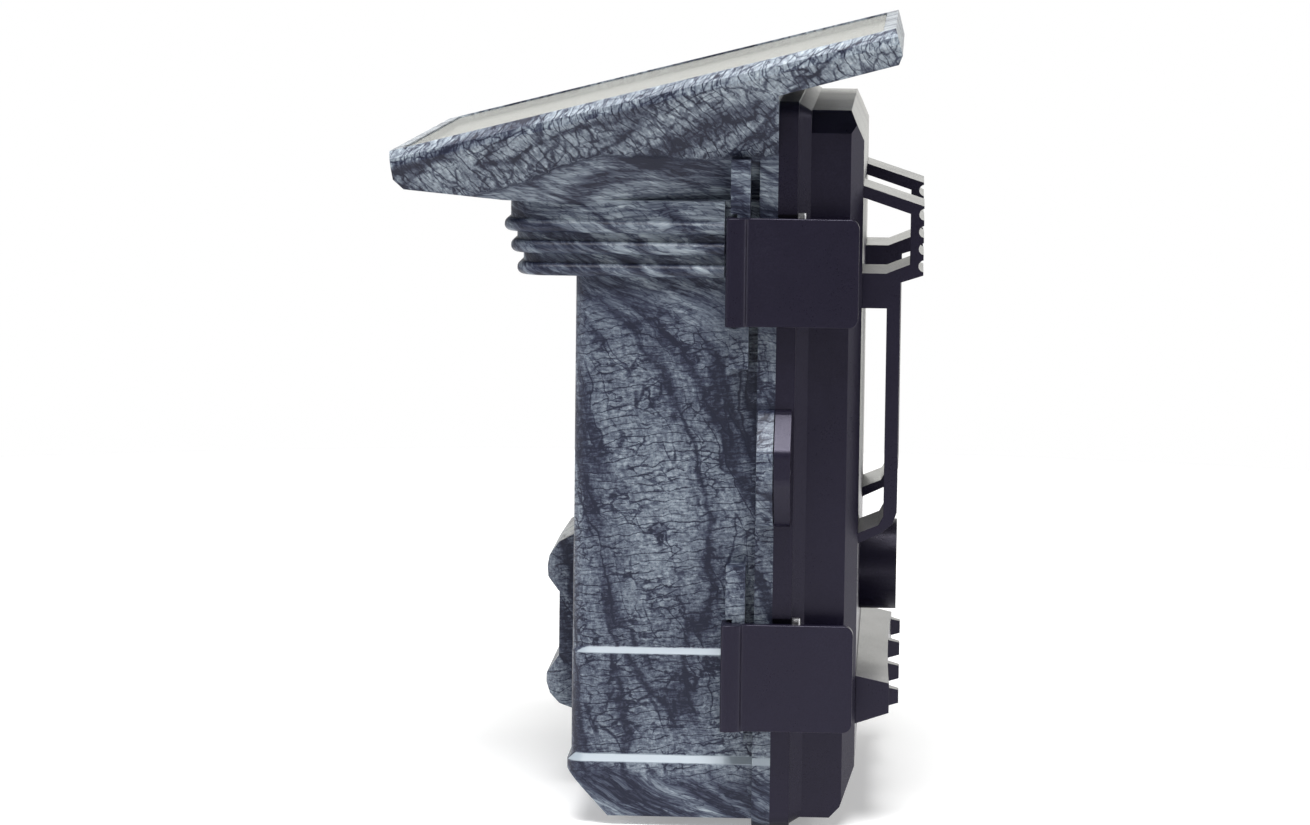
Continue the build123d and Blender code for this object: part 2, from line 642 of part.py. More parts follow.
with BuildPart() as tripod_insert_rear:
    rod_y((0, BOSS_Z), (BOSS_REAR - REAR_INSERT, BOSS_REAR), INSERT_R)
    rod_y((0, BOSS_Z), (BOSS_REAR - REAR_INSERT - 1, BOSS_REAR + 1), THREAD_R, mode=Mode.SUBTRACT)

# ---------------------------------------------------------------- camera eye and lamps

with BuildPart() as lamp_window:
    plate(WINDOW_HALF - 0.2, (WINDOW_Z[0] + 0.2, WINDOW_Z[1] - 0.2),
          (BODY_FRONT + 0.3, BODY_FRONT + WINDOW_DEPTH), 4.8)
    rod_y((0, LENS_Z), (BODY_FRONT - 1, BODY_FRONT + 3), LENS_HOLE_R, mode=Mode.SUBTRACT)

with BuildPart() as lens_barrel:
    rod_y((0, LENS_Z), (BODY_FRONT + 0.1, BODY_FRONT + 2.6), LENS_HOLE_R - 0.1)
    rod_y((0, LENS_Z), (BODY_FRONT + 2.6, back(-24.2)), 7.4)
    rod_y((0, LENS_Z), (BODY_FRONT - 1, BODY_FRONT + 1.6), 7.6, mode=Mode.SUBTRACT)
    rod_y((0, LENS_Z), (BODY_FRONT + 1, BODY_FRONT + 5.4), 5.6, mode=Mode.SUBTRACT)
    rod_y((0, LENS_Z), (BODY_FRONT + 5, back(-24)), 3.4, mode=Mode.SUBTRACT)

with BuildPart() as lens_cover:
    rod_y((0, LENS_Z), (BODY_FRONT + 0.6, BODY_FRONT + 1.6), 7.5)

with BuildPart() as lens_glass:
    with BuildSketch(Plane.YZ) as dome:
        with BuildLine():
            Line((BODY_FRONT + 5.4, LENS_Z), (BODY_FRONT + 2.8, LENS_Z))
            ThreePointArc((BODY_FRONT + 2.8, LENS_Z), (BODY_FRONT + 3.4, LENS_Z + 3.2),
                          (BODY_FRONT + 4.8, LENS_Z + 5.4))
            Line((BODY_FRONT + 4.8, LENS_Z + 5.4), (BODY_FRONT + 5.4, LENS_Z + 5.4))
            Line((BODY_FRONT + 5.4, LENS_Z + 5.4), (BODY_FRONT + 5.4, LENS_Z))
        make_face()
    revolve(dome.sketch, axis=Axis((0, 0, LENS_Z), (0, 1, 0)))

with BuildPart() as lens_mount:
    block((-11, 11), (back(-24.2), back(-20.2)), (LENS_Z - 9, LENS_Z + 9))
    block((-12, 12), (back(-23.2), back(-21.2)), (LENS_Z - 5, LENS_Z + 5), mode=Mode.SUBTRACT)
    rod_y((0, LENS_Z), (back(-25), back(-20)), 3.6, mode=Mode.SUBTRACT)

with BuildPart() as filter_slide:
    block((-10.6, 4.4), (back(-22.7), back(-21.7)), (LENS_Z - 4.4, LENS_Z + 4.4))
    for x in (-6.4, 0.0):
        rod_y((x, LENS_Z), (back(-23), back(-21)), 2.6, mode=Mode.SUBTRACT)

with BuildPart() as filter_glass:
    rod_y((-6.4, LENS_Z), (back(-22.6), back(-21.8)), 2.6)

with BuildPart() as sensor_board:
    block((-13, 13), (back(-20.2), back(-18.8)), (LENS_Z - 11, LENS_Z + 11))
    block((-2.4, 2.4), (back(-20.8), back(-20.2)), (LENS_Z - 2.0, LENS_Z + 2.0))

LAMP_PLACES = [
    (x, z)
    for z in (64.0, 71.5, 79.0, 86.5, 94.0)
    for x in (-32.0, -24.5, -17.0, 17.0, 24.5, 32.0)
]

with BuildPart() as lamp_board:
    plate(36.5, (60.5, 98.5), LAMP_BOARD_Y, 2.5)
    rod_y((0, LENS_Z), (LAMP_BOARD_Y[0] - 1, LAMP_BOARD_Y[1] + 1), 9.0, mode=Mode.SUBTRACT)

with BuildPart() as infrared_lamps:
    for place in LAMP_PLACES:
        rod_y(place, (LAMP_BOARD_Y[0] - LAMP_LENGTH + LAMP_R, LAMP_BOARD_Y[0]), LAMP_R)
        with Locations((place[0], LAMP_BOARD_Y[0] - LAMP_LENGTH + LAMP_R, place[1])):
            Sphere(LAMP_R)

# ---------------------------------------------------------------- motion sensor

BEZEL_PROFILE = [
    (BODY_FRONT, 51.9), (back(-40.6), 51.9), (back(-43.6), 50.2), (back(-45.6), 47.2),
    (back(-46.0), 45.0), (back(-45.8), 43.0), (back(-43.4), 40.2), (back(-43.4), 27.4),
    (back(-44.6), 25.6), (back(-46.0), 23.4), (back(-46.0), 21.6), (back(-45.2), 19.6),
    (back(-43.2), 17.7), (back(-40.6), 16.8), (BODY_FRONT, 16.8),
]

with BuildPart() as motion_sensor_bezel:
    slab_x(BEZEL_PROFILE, (-BEZEL_HALF, BEZEL_HALF))
    round_slab(BEZEL_HALF, (back(-46.5), back(-30)), (10, 60), 4.5, mode=Mode.INTERSECT)
    plate(SENSOR_HALF_X, (SENSOR_Z - SENSOR_HALF_Z, SENSOR_Z + SENSOR_HALF_Z),
          (back(-50), back(-30)), 2.5, mode=Mode.SUBTRACT)

with BuildPart() as motion_sensor_lens:
    with BuildSketch(Plane.XY.offset(SENSOR_Z - SENSOR_HALF_Z + 0.1)) as bulge:
        with BuildLine():
            ThreePointArc((-SENSOR_HALF_X + 0.1, back(-39.2)), (0, back(-43.9)),
                          (SENSOR_HALF_X - 0.1, back(-39.2)))
            Line((SENSOR_HALF_X - 0.1, back(-39.2)), (-SENSOR_HALF_X + 0.1, back(-39.2)))
        make_face()
    extrude(bulge.sketch, amount=2 * SENSOR_HALF_Z - 0.2)
    with BuildSketch(Plane.XY.offset(SENSOR_Z - SENSOR_HALF_Z + 1.1)) as hollow:
        with BuildLine():
            ThreePointArc((-SENSOR_HALF_X + 1.4, back(-39.0)), (0, back(-43.0)),
                          (SENSOR_HALF_X - 1.4, back(-39.0)))
            Line((SENSOR_HALF_X - 1.4, back(-39.0)), (-SENSOR_HALF_X + 1.4, back(-39.0)))
        make_face()
    extrude(hollow.sketch, amount=2 * SENSOR_HALF_Z - 2.2, mode=Mode.SUBTRACT)
    plate(SENSOR_HALF_X - 0.1, (SENSOR_Z - SENSOR_HALF_Z + 0.1, SENSOR_Z + SENSOR_HALF_Z - 0.1),
          (back(-50), back(-30)), 2.4, mode=Mode.INTERSECT)

with BuildPart() as motion_sensor_can:
    rod_y((0, SENSOR_Z), (back(-36.0), back(-31.5)), 4.6)
    rod_y((0, SENSOR_Z), (back(-31.5), back(-31.0)), 5.2)
    block((-1.9, 1.9), (back(-36.2), back(-36.0)), (SENSOR_Z - 1.5, SENSOR_Z + 1.5))

with BuildPart() as motion_board:
    block((-12, 12), (back(-31.0), back(-29.6)), (SENSOR_Z - 10, SENSOR_Z + 10))

# ---------------------------------------------------------------- inner panel and electronics

with BuildPart() as inner_panel:
    plate(PANEL_HALF, PANEL_Z, PANEL_Y, 2.0)
    block((-TRAY_HALF - 0.3, TRAY_HALF + 0.3), (back(-11), back(-6)), (TRAY_Z[0] - 0.3, TRAY_Z[1] + 0.3),
          mode=Mode.SUBTRACT)
    plate(SCREEN[0], SCREEN[1], (back(-11), back(-6)), 1.0, mode=Mode.SUBTRACT)
    for x in KEY_XS:
        rod_y((x, KEY_Z), (back(-11), back(-6)), KEY_R + KEY_GAP, mode=Mode.SUBTRACT)
    block((SWITCH_X - 2.2, SWITCH_X + 2.2), (back(-11), back(-6)), SWITCH_Z, mode=Mode.SUBTRACT)
    block((CARD_X[0] - 0.4, CARD_X[1] + 0.4), (back(-11), back(-6)),
          (CARD_Z[0] - 0.4, CARD_Z[1] + 0.4), mode=Mode.SUBTRACT)
    panel_screw_set(Mode.SUBTRACT)

with BuildPart() as main_board:
    block((-36.0, 39.8), BOARD_Y, (67.0, 116.0))
    for x, z, size in ((14.0, 100.0, 12.0), (-14.0, 104.0, 9.0), (-16.0, 84.0, 8.0)):
        block((x - size / 2, x + size / 2), (BOARD_Y[0] - 1.2, BOARD_Y[0]), (z - size / 2, z + size / 2))

with BuildPart() as screen:
    block((-SCREEN[0] + 0.5, SCREEN[0] - 0.5), (back(-12.4), back(-9.7)),
          (SCREEN[1][0] - 0.4, SCREEN[1][1] + 0.4))

with BuildPart() as screen_window:
    plate(SCREEN[0] - 0.2, (SCREEN[1][0] + 0.2, SCREEN[1][1] - 0.2), (back(-9.3), back(-7.6)), 0.8)

KEY_NAMES = ("key_menu", "key_up", "key_ok", "key_down", "key_shot")
keys = {}
for name, x in zip(KEY_NAMES, KEY_XS):
    with BuildPart() as key:
        rod_y((x, KEY_Z), (back(-10.9), back(-6.2)), KEY_R)
        fillet(key.edges().group_by(Axis.Y)[-1], 0.6)
        rod_y((x, KEY_Z), (back(-10.9), back(-9.9)), KEY_R + 0.9)
    keys[name] = key

with BuildPart() as mode_switch_body:
    block((SWITCH_X - 4, SWITCH_X + 4), (back(-12.5), back(-11.2)), (90.0, 110.0))

with BuildPart() as mode_switch:
    block((SWITCH_X - 1.6, SWITCH_X + 1.6), (back(-10.8), back(-6.0)), (97.0, 103.0))
    fillet(mode_switch.edges().filter_by(Axis.X).group_by(Axis.Y)[-1], 0.8)

with BuildPart() as card_socket:
    block((CARD_X[0] - 1.6, CARD_X[1] + 1.6), (back(-36.4), back(-10.0)),
          (CARD_Z[0] - 1.6, CARD_Z[1] + 1.6))
    block((CARD_X[0] - 0.3, CARD_X[1] + 0.3), (back(-35.8), back(-9)), (CARD_Z[0] - 0.3, CARD_Z[1] + 0.3),
          mode=Mode.SUBTRACT)

with BuildPart() as memory_card:
    block(CARD_X, CARD_Y, CARD_Z)
    chamfer(memory_card.edges().filter_by(Axis.X).group_by(Axis.Y)[0].sort_by(Axis.Z)[-1], 3.5)

with BuildPart() as battery_tray:
    block((-TRAY_HALF, TRAY_HALF), TRAY_Y, TRAY_Z)
    block((-TRAY_HALF + TRAY_WALL, TRAY_HALF - TRAY_WALL), (TRAY_Y[0] + TRAY_WALL, back(0)),
          (TRAY_Z[0] + TRAY_WALL, TRAY_Z[1] - TRAY_WALL), mode=Mode.SUBTRACT)

CELL_XS = [CELL_PITCH * (index - 1.5) for index in range(4)]

with BuildPart() as battery_cells:
    for index, x in enumerate(CELL_XS):
        rod_z((x, CELL_Y), (CELL_Z[0], CELL_Z[1] - 1.2), CELL_R)
        end = (CELL_Z[1] - 1.2, CELL_Z[1]) if index % 2 == 0 else (CELL_Z[0] - 1.2, CELL_Z[0])
        rod_z((x, CELL_Y), end, 2.6)

with BuildPart() as battery_contacts:
    for x in CELL_XS:
        for low, high in ((TRAY_Z[0] + TRAY_WALL, CELL_Z[0] - 1.3), (CELL_Z[1] + 0.1, TRAY_Z[1] - TRAY_WALL)):
            block((x - 4.5, x + 4.5), (CELL_Y - 5, CELL_Y + 5), (low, high))

with BuildPart() as battery_cover:
    plate(TRAY_HALF, TRAY_Z, COVER_Y, 2.0)
    for z in (16.0, 59.0):
        block((-16, 16), (COVER_Y[1], COVER_Y[1] + 0.8), (z - 0.6, z + 0.6))
    block((-10, 10), (COVER_Y[1] - 0.9, COVER_Y[1] + 1), (60.8, 63.6), mode=Mode.SUBTRACT)

with BuildPart() as speaker:
    rod_y((35.0, 80.0), (back(-12.5), back(-9.6)), 4.2)

with BuildPart() as panel_screws:
    panel_screw_set()

# ---------------------------------------------------------------- port plug

with BuildPart() as port_plug:
    block((-BODY_HALF - 1.6, -BODY_HALF), (PORT_Y[0] - 2, PORT_Y[1] + 2), (PORT_Z[0] - 2, PORT_Z[1] + 2))
    fillet(port_plug.edges().filter_by(Axis.X), 2.0)
    block((-BODY_HALF, -CAVITY_HALF + 0.5), (PORT_Y[0] + 0.35, PORT_Y[1] - 0.35),
          (PORT_Z[0] + 0.35, PORT_Z[1] - 0.35))

with BuildPart() as port_block:
    block((-45.9, -38.0), (PORT_Y[0] - 1, PORT_Y[1] + 1), (PORT_Z[0] - 1, PORT_Z[1] + 1))
    block((-46.5, -40.0), (PORT_Y[0] + 1, PORT_Y[0] + 8.6), (45.0, 48.4), mode=Mode.SUBTRACT)
    rod_x((PORT_Y[1] - 3.4, 51.0), (-46.5, -40.0), 2.6, mode=Mode.SUBTRACT)

# ---------------------------------------------------------------- write every piece

pieces = {
    "front_case": front_case, "solar_panel": solar_panel, "solar_cover": solar_cover,
    "lithium_pack": lithium_pack, "charging_board": charging_board, "rear_shell": rear_shell,
    "seal": seal, "bracket_ladder_right": bracket_ladder_right,
    "bracket_ladder_left": bracket_ladder_left, "bracket_foot_bar": bracket_foot_bar,
    "bracket_screws": bracket_screws, "latch_lower": latch_lower, "latch_upper": latch_upper,
    "latch_pins": latch_pins, "hinge_pins": hinge_pins, "tripod_insert_bottom": tripod_insert_bottom,
    "tripod_insert_rear": tripod_insert_rear, "lamp_window": lamp_window, "lens_barrel": lens_barrel,
    "lens_cover": lens_cover, "lens_glass": lens_glass, "lens_mount": lens_mount,
    "filter_slide": filter_slide, "filter_glass": filter_glass, "sensor_board": sensor_board,
    "lamp_board": lamp_board, "infrared_lamps": infrared_lamps,
    "motion_sensor_bezel": motion_sensor_bezel, "motion_sensor_lens": motion_sensor_lens,
    "motion_sensor_can": motion_sensor_can, "motion_board": motion_board, "inner_panel": inner_panel,
    "main_board": main_board, "screen": screen, "screen_window": screen_window,
    "mode_switch_body": mode_switch_body, "mode_switch": mode_switch, "card_socket": card_socket,
    "memory_card": memory_card, "battery_tray": battery_tray, "battery_cells": battery_cells,
    "battery_contacts": battery_contacts, "battery_cover": battery_cover, "speaker": speaker,
    "panel_screws": panel_screws, "port_plug": port_plug, "port_block": port_block, **keys,
}

os.makedirs("parts", exist_ok=True)
for name, piece in pieces.items():
    piece.part.label = name
    export_step(piece.part, f"parts/{name}.step")
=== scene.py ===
"""Looks for a solar trail camera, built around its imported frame."""

import json
import logging
import math
from collections.abc import Sequence
from dataclasses import dataclass
from enum import Enum

import bmesh
import bpy
from mathutils import Matrix, Vector

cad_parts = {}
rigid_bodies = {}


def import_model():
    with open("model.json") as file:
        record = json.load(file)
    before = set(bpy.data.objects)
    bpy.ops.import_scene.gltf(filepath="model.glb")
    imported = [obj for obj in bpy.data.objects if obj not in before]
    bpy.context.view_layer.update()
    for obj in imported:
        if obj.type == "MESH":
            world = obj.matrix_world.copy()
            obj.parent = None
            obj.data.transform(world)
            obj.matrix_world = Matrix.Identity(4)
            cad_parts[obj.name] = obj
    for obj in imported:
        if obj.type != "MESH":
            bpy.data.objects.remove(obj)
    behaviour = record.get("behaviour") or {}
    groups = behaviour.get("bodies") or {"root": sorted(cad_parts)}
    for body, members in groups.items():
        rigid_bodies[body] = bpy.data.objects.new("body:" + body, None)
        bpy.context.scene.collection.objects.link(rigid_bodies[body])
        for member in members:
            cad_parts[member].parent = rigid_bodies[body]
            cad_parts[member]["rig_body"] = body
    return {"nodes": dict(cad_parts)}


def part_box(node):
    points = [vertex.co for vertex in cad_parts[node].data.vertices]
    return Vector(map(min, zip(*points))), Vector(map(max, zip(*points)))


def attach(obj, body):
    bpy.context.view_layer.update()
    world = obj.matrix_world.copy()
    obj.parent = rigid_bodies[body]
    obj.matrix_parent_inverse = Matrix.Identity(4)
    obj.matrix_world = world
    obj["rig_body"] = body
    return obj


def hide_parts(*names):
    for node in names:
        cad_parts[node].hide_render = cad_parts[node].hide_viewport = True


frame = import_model()

log = logging.getLogger("trail_camera")

Colour = tuple[float, float, float]
Point = tuple[float, float, float]
Outline = Sequence[tuple[float, float]]
Socket = bpy.types.NodeSocket
Material = bpy.types.Material
Piece = bpy.types.Object

MM = 0.001
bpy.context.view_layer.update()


class Axis(Enum):
    """The way a small part faces."""

    FRONT = (0.0, -1.0, 0.0)
    REAR = (0.0, 1.0, 0.0)
    UP = (0.0, 0.0, 1.0)
    DOWN = (0.0, 0.0, -1.0)


class Value:
    """A number socket that Python expressions can work with."""

    def __init__(self, graph: "Graph", socket: Socket) -> None:
        """Keeps the socket and the graph it lives in."""
        self.graph = graph
        self.socket = socket

    def _with(self, operation: str, first: "Value | float", second: "Value | float" = 0.0) -> "Value":
        """Adds one Math node on two values."""
        made = self.graph.node("ShaderNodeMath", {"operation": operation}, {0: first, 1: second})
        return Value(self.graph, made.outputs[0])

    def __add__(self, other: "Value | float") -> "Value":
        """Sum."""
        return self._with("ADD", self, other)

    __radd__ = __add__

    def __sub__(self, other: "Value | float") -> "Value":
        """Difference."""
        return self._with("SUBTRACT", self, other)

    def __rsub__(self, other: "Value | float") -> "Value":
        """Difference from a number."""
        return self._with("SUBTRACT", other, self)

    def __mul__(self, other: "Value | float") -> "Value":
        """Product."""
        return self._with("MULTIPLY", self, other)

    __rmul__ = __mul__

    def __truediv__(self, other: "Value | float") -> "Value":
        """Quotient."""
        return self._with("DIVIDE", self, other)

    def __pow__(self, other: "Value | float") -> "Value":
        """Power."""
        return self._with("POWER", self, other)

    def __abs__(self) -> "Value":
        """Size without its sign."""
        return self._with("ABSOLUTE", self)

    def sine(self) -> "Value":
        """Sine of an angle in radians."""
        return self._with("SINE", self)

    def least(self, other: "Value | float") -> "Value":
        """The smaller of two values."""
        return self._with("MINIMUM", self, other)

    def most(self, other: "Value | float") -> "Value":
        """The larger of two values."""
        return self._with("MAXIMUM", self, other)

    def wrap(self, length: float) -> "Value":
        """The value folded into 0 to length."""
        made = self.graph.node("ShaderNodeMath", {"operation": "WRAP"}, {0: self, 1: length, 2: 0.0})
        return Value(self.graph, made.outputs[0])

    def rise(self, low: float, high: float) -> "Value":
        """A smooth step.

        Args:
            low: where the step starts at 0.
            high: where the step reaches 1; it may be under low for a falling step.

        Returns:
            A value from 0 to 1.
        """
        made = self.graph.node(
            "ShaderNodeMapRange",
            {"interpolation_type": "SMOOTHSTEP"},
            {"Value": self, "From Min": low, "From Max": high},
        )
        return Value(self.graph, made.outputs[0])

    def blend(self, zero: "Value | float", one: "Value | float") -> "Value":
        """Mixes two numbers, this value being the share of the second."""
        made = self.graph.node("ShaderNodeMix", {"data_type": "FLOAT"}, {0: self, 2: zero, 3: one})
        return Value(self.graph, made.outputs[0])


class Graph:
    """Adds nodes to one node tree, of a material or of a geometry modifier."""

    def __init__(self, tree: bpy.types.NodeTree) -> None:
        """Keeps the tree."""
        self.tree = tree

    def node(self, kind: str, settings: dict | None = None, inputs: dict | None = None) -> bpy.types.Node:
        """Adds any node.

        Args:
            kind: the node's type name.
            settings: its properties, or "stops" for a colour ramp's positions and colours.
            inputs: a number, a colour or a link for each socket, by name or place.

        Returns:
            The node.
        """
        made = self.tree.nodes.new(kind)
        for name, value in (settings or {}).items():
            if name == "stops":
                self._stops(made.color_ramp, value)
            else:
                setattr(made, name, value)
        for key, value in (inputs or {}).items():
            self.feed(made.inputs[key], value)
        return made

    @staticmethod
    def _stops(ramp: bpy.types.ColorRamp, stops: Sequence[tuple[float, Colour]]) -> None:
        """Gives a colour ramp its stops."""
        while len(ramp.elements) < len(stops):
            ramp.elements.new(1.0)
        for element, (place, colour) in zip(ramp.elements, stops):
            element.position = place
            element.color = (*colour, 1.0)

    def feed(self, socket: Socket, value: object) -> None:
        """Links a socket, or sets its own number or colour."""
        if isinstance(value, Value):
            self.tree.links.new(value.socket, socket)
        elif isinstance(value, Socket):
            self.tree.links.new(value, socket)
        elif isinstance(value, tuple) and len(value) == 3 and socket.type == "RGBA":
            socket.default_value = (*value, 1.0)
        else:
            socket.default_value = value

    def place(self) -> tuple[Value, Value, Value]:
        """The point's X, Y and Z in millimetres."""
        where = self.node("ShaderNodeTexCoord").outputs["Object"]
        scaled = self.node("ShaderNodeVectorMath", {"operation": "SCALE"}, {0: where, "Scale": 1 / MM})
        parts = self.node("ShaderNodeSeparateXYZ", inputs={0: scaled.outputs[0]})
        return tuple(Value(self, socket) for socket in parts.outputs)

    def join(self, *parts: Value | float) -> Socket:
        """One vector from three numbers."""
        made = self.node("ShaderNodeCombineXYZ", inputs=dict(enumerate(parts)))
        return made.outputs[0]

    def noise(self, at: Socket, scale: float, detail: float = 2.0, rough: float = 0.5) -> Value:
        """Soft random tone.

        Args:
            at: the coordinates.
            scale: how many features in one unit of them.
            detail: how many finer layers are added.
            rough: how strong the finer layers are.

        Returns:
            A value around 0.5.
        """
        made = self.node(
            "ShaderNodeTexNoise",
            inputs={"Vector": at, "Scale": scale, "Detail": detail, "Roughness": rough},
        )
        return Value(self, made.outputs[0])

    def cells(self, at: Socket, scale: float, feature: str = "F1") -> bpy.types.Node:
        """A Voronoi texture of one feature."""
        return self.node("ShaderNodeTexVoronoi", {"feature": feature}, {"Vector": at, "Scale": scale})

    def tint(self, tone: Value, stops: Sequence[tuple[float, Colour]]) -> Socket:
        """A colour from a tone, through a ramp."""
        return self.node("ShaderNodeValToRGB", {"stops": stops}, {0: tone}).outputs[0]

    def mix(self, share: Value, zero: object, one: object) -> Socket:
        """Mixes two colours."""
        made = self.node("ShaderNodeMix", {"data_type": "RGBA"}, {0: share, 6: zero, 7: one})
        return made.outputs[2]

    def bump(self, height: Value, strength: float, depth: float) -> Socket:
        """A normal that follows a height.

        Args:
            height: the height, from 0 to 1.
            strength: the effect's share.
            depth: how deep a height of 1 is, in metres.

        Returns:
            The normal.
        """
        values = {"Height": height, "Strength": strength, "Distance": depth}
        return self.node("ShaderNodeBump", inputs=values).outputs[0]


@dataclass(frozen=True)
class Finish:
    """A surface finish. Each kind paints one Principled shader."""

    name: str

    def material(self) -> Material:
        """Makes the material."""
        made = bpy.data.materials.new(self.name)
        made.use_nodes = True
        made.node_tree.nodes.clear()
        graph = Graph(made.node_tree)
        shader = graph.node("ShaderNodeBsdfPrincipled")
        graph.node("ShaderNodeOutputMaterial", inputs={"Surface": shader.outputs[0]})
        self.paint(graph, shader.inputs)
        return made

    def paint(self, graph: Graph, shader: bpy.types.NodeInputs) -> None:
        """Sets and links the shader's sockets."""
        raise NotImplementedError


@dataclass(frozen=True)
class BarkPrint(Finish):
    """Dipped print of cracked bark and wood grain on moulded plastic."""

    name: str = "bark_print"
    grain_top: float = 129.4
    grain_slope: float = 0.36
    grain_foot: float = 134.5
    body_half: float = 49.0
    ledges: tuple = (34.0, 13.0)
    # Pale tone of the painted highlight along the step ledges.
    ledge_highlight_tone: float = 0.80
    crack_depth: float = 0.44
    hairline_depth: float = 0.22
    plate_depth: float = 0.36
    furrow_depth: float = 0.50
    fine_depth: float = 0.36
    # Where the painted highlight on the head's top rim begins, and its slope.
    rim_highlight_slope: float = 0.2562
    rim_highlight_start: float = 135.9
    under_band: tuple[float, float] = (88.0, 110.0)
    base_band: tuple[float, float] = (13.0, 7.0)
    dullness: float = 0.42
    gloss: float = 0.24
    relief: float = 0.45
    relief_depth: float = 0.00020
    stops: tuple = (
        (0.00, (0.008, 0.010, 0.024)),
        (0.22, (0.030, 0.036, 0.062)),
        (0.42, (0.082, 0.098, 0.132)),
        (0.60, (0.160, 0.188, 0.226)),
        (0.80, (0.270, 0.312, 0.352)),
        (1.00, (0.450, 0.500, 0.540)),
    )

    @staticmethod
    def ridge(field: Value, low: float, high: float) -> Value:
        """Lines where a soft field crosses its middle, thinner as low nears 1."""
        return (1.0 - abs(field * 2.0 - 1.0)).rise(low, high)

    def bark(self, graph: Graph, u: Value, v: Value, w: Value, head: Value) -> Value:
        """Tone of plates, cracks and long furrows.

        Args:
            graph: the material's graph.
            u: the way round the case.
            v: height.
            w: the way through the case.
            head: 1 where the print follows the sloping head.

        Returns:
            A tone from 0, black, to 1, pale.
        """
        at = graph.join(u, v, w)
        wander = graph.noise(at, 0.09, 2.0, 0.5) - 0.5
        jitter = graph.noise(graph.join(u, v, w + 31.0), 0.5, 3.0, 0.6) - 0.5
        bend = (v - 88.0).most(0.0)
        leaning = u + v * 0.32 + bend * bend * 0.035
        across = head.blend(leaning, v * 1.5 - u * 0.75) + wander * 7.0 + jitter * 1.2
        along = head.blend(v, u)
        trunk = graph.noise(graph.join(across * 0.085, along * 0.012, w * 0.05 + 3.0), 1.0, 1.0, 0.4)
        furrow = self.ridge(trunk, 0.93, 1.0) * 0.62 + self.ridge(trunk, 0.70, 1.0) * 0.26
        branch = graph.noise(graph.join(across * 0.24, along * 0.035 + 7.0, w * 0.1), 1.0, 1.0, 0.5)
        fine = self.ridge(branch, 0.95, 1.0) * graph.noise(at, 0.13, 1.0).rise(0.42, 0.58)
        sweep = head.blend(v * 0.60 - u * 0.06, u * 0.52 + v * 0.12) + wander * 3.0 + jitter * 0.55
        gate_u, gate_v = head.blend(u * 0.20, u * 0.40), head.blend(v * 0.45, v * 0.20)
        gate = graph.noise(graph.join(gate_u, gate_v, w * 0.1), 1.0, 2.0)
        crack = abs((sweep * math.pi).sine()).rise(0.24, 0.07) * gate.rise(0.42, 0.50)
        hairline = abs((sweep * math.pi * 2.6 + jitter * 4.0).sine()).rise(0.30, 0.08)
        hairline = hairline * gate.rise(0.58, 0.44)
        plates = graph.join(
            head.blend(u * 0.26, u * 0.44) + wander * 1.6 + jitter * 1.1,
            head.blend(v * 0.56, v * 0.33) - wander * 1.6 + jitter * 1.1, w * 0.12,
        )
        edge = Value(graph, graph.cells(plates, 1.0, "DISTANCE_TO_EDGE").outputs[0])
        patchy = graph.noise(graph.join(u, v, w + 60.0), 0.17, 2.0)
        shell = edge.rise(0.10, 0.02) * (patchy + head * 0.14).rise(0.44, 0.58)
        broad = graph.noise(at, 0.05, 2.0) - 0.5
        mottle = graph.noise(at, 1.2, 4.0, 0.7) - 0.5
        threads = graph.join(head.blend(u * 0.5, u * 2.2), head.blend(v * 2.4, v * 0.6), w)
        strand = graph.noise(threads, 1.0, 2.0, 0.6)
        fibre = graph.noise(graph.join(across * 1.3, along * 0.4, w), 1.0, 4.0, 0.75) - 0.5
        tone = 0.50 + broad * 0.45 + mottle * 0.95 + fibre * 0.60 + (strand - 0.5) * 0.70 + head * 0.10
        tone = tone - crack * self.crack_depth - hairline * self.hairline_depth - shell * self.plate_depth
        return tone - furrow * self.furrow_depth - fine * self.fine_depth

    def grain(self, graph: Graph, u: Value, v: Value, w: Value) -> Value:
        """Tone of the smooth, wavy wood grain under the head."""
        sway = (graph.noise(graph.join(u * 0.6, v, w), 0.07, 2.0) - 0.5) * 7.0
        level = graph.noise(graph.join(u * 0.08, (v + u * 0.05 + sway) * 1.7, w * 0.2), 1.0, 5.0, 0.7)
        lift = v + u * 0.40 + sway
        falling = graph.noise(graph.join(u * 0.14, lift * 1.5, w * 0.2), 1.0, 5.0, 0.7)
        lines = v.rise(119.0, 109.0).blend(level, falling)
        strokes = graph.noise(graph.join(u * 0.22, lift * 0.75 + 4.0, w * 0.2), 1.0, 3.0, 0.6)
        streak = graph.noise(graph.join((u + v * 1.5) * 0.075, v * 0.02, w * 0.05 + 9.0), 1.0, 2.0, 0.5)
        dark = self.ridge(streak, 0.78, 1.0) * 0.36 + self.ridge(strokes, 0.88, 1.0) * 0.22
        return 0.57 + (lines - 0.5) * 1.6 + (strokes - 0.5) * 0.6 - dark

    def furrow_line(self, height: Value, y: Value, ends: tuple[float, float], wide: float) -> Value:
        """A long dark furrow on the head, fading at its ends.

        Args:
            height: distance from the furrow's line.
            y: the way along it.
            ends: where it fades out, in millimetres.
            wide: its half width.

        Returns:
            Its darkness.
        """
        near, far = ends
        return abs(height).rise(wide, wide * 0.2) * y.rise(near, near + 6.0) * y.rise(far, far - 6.0)

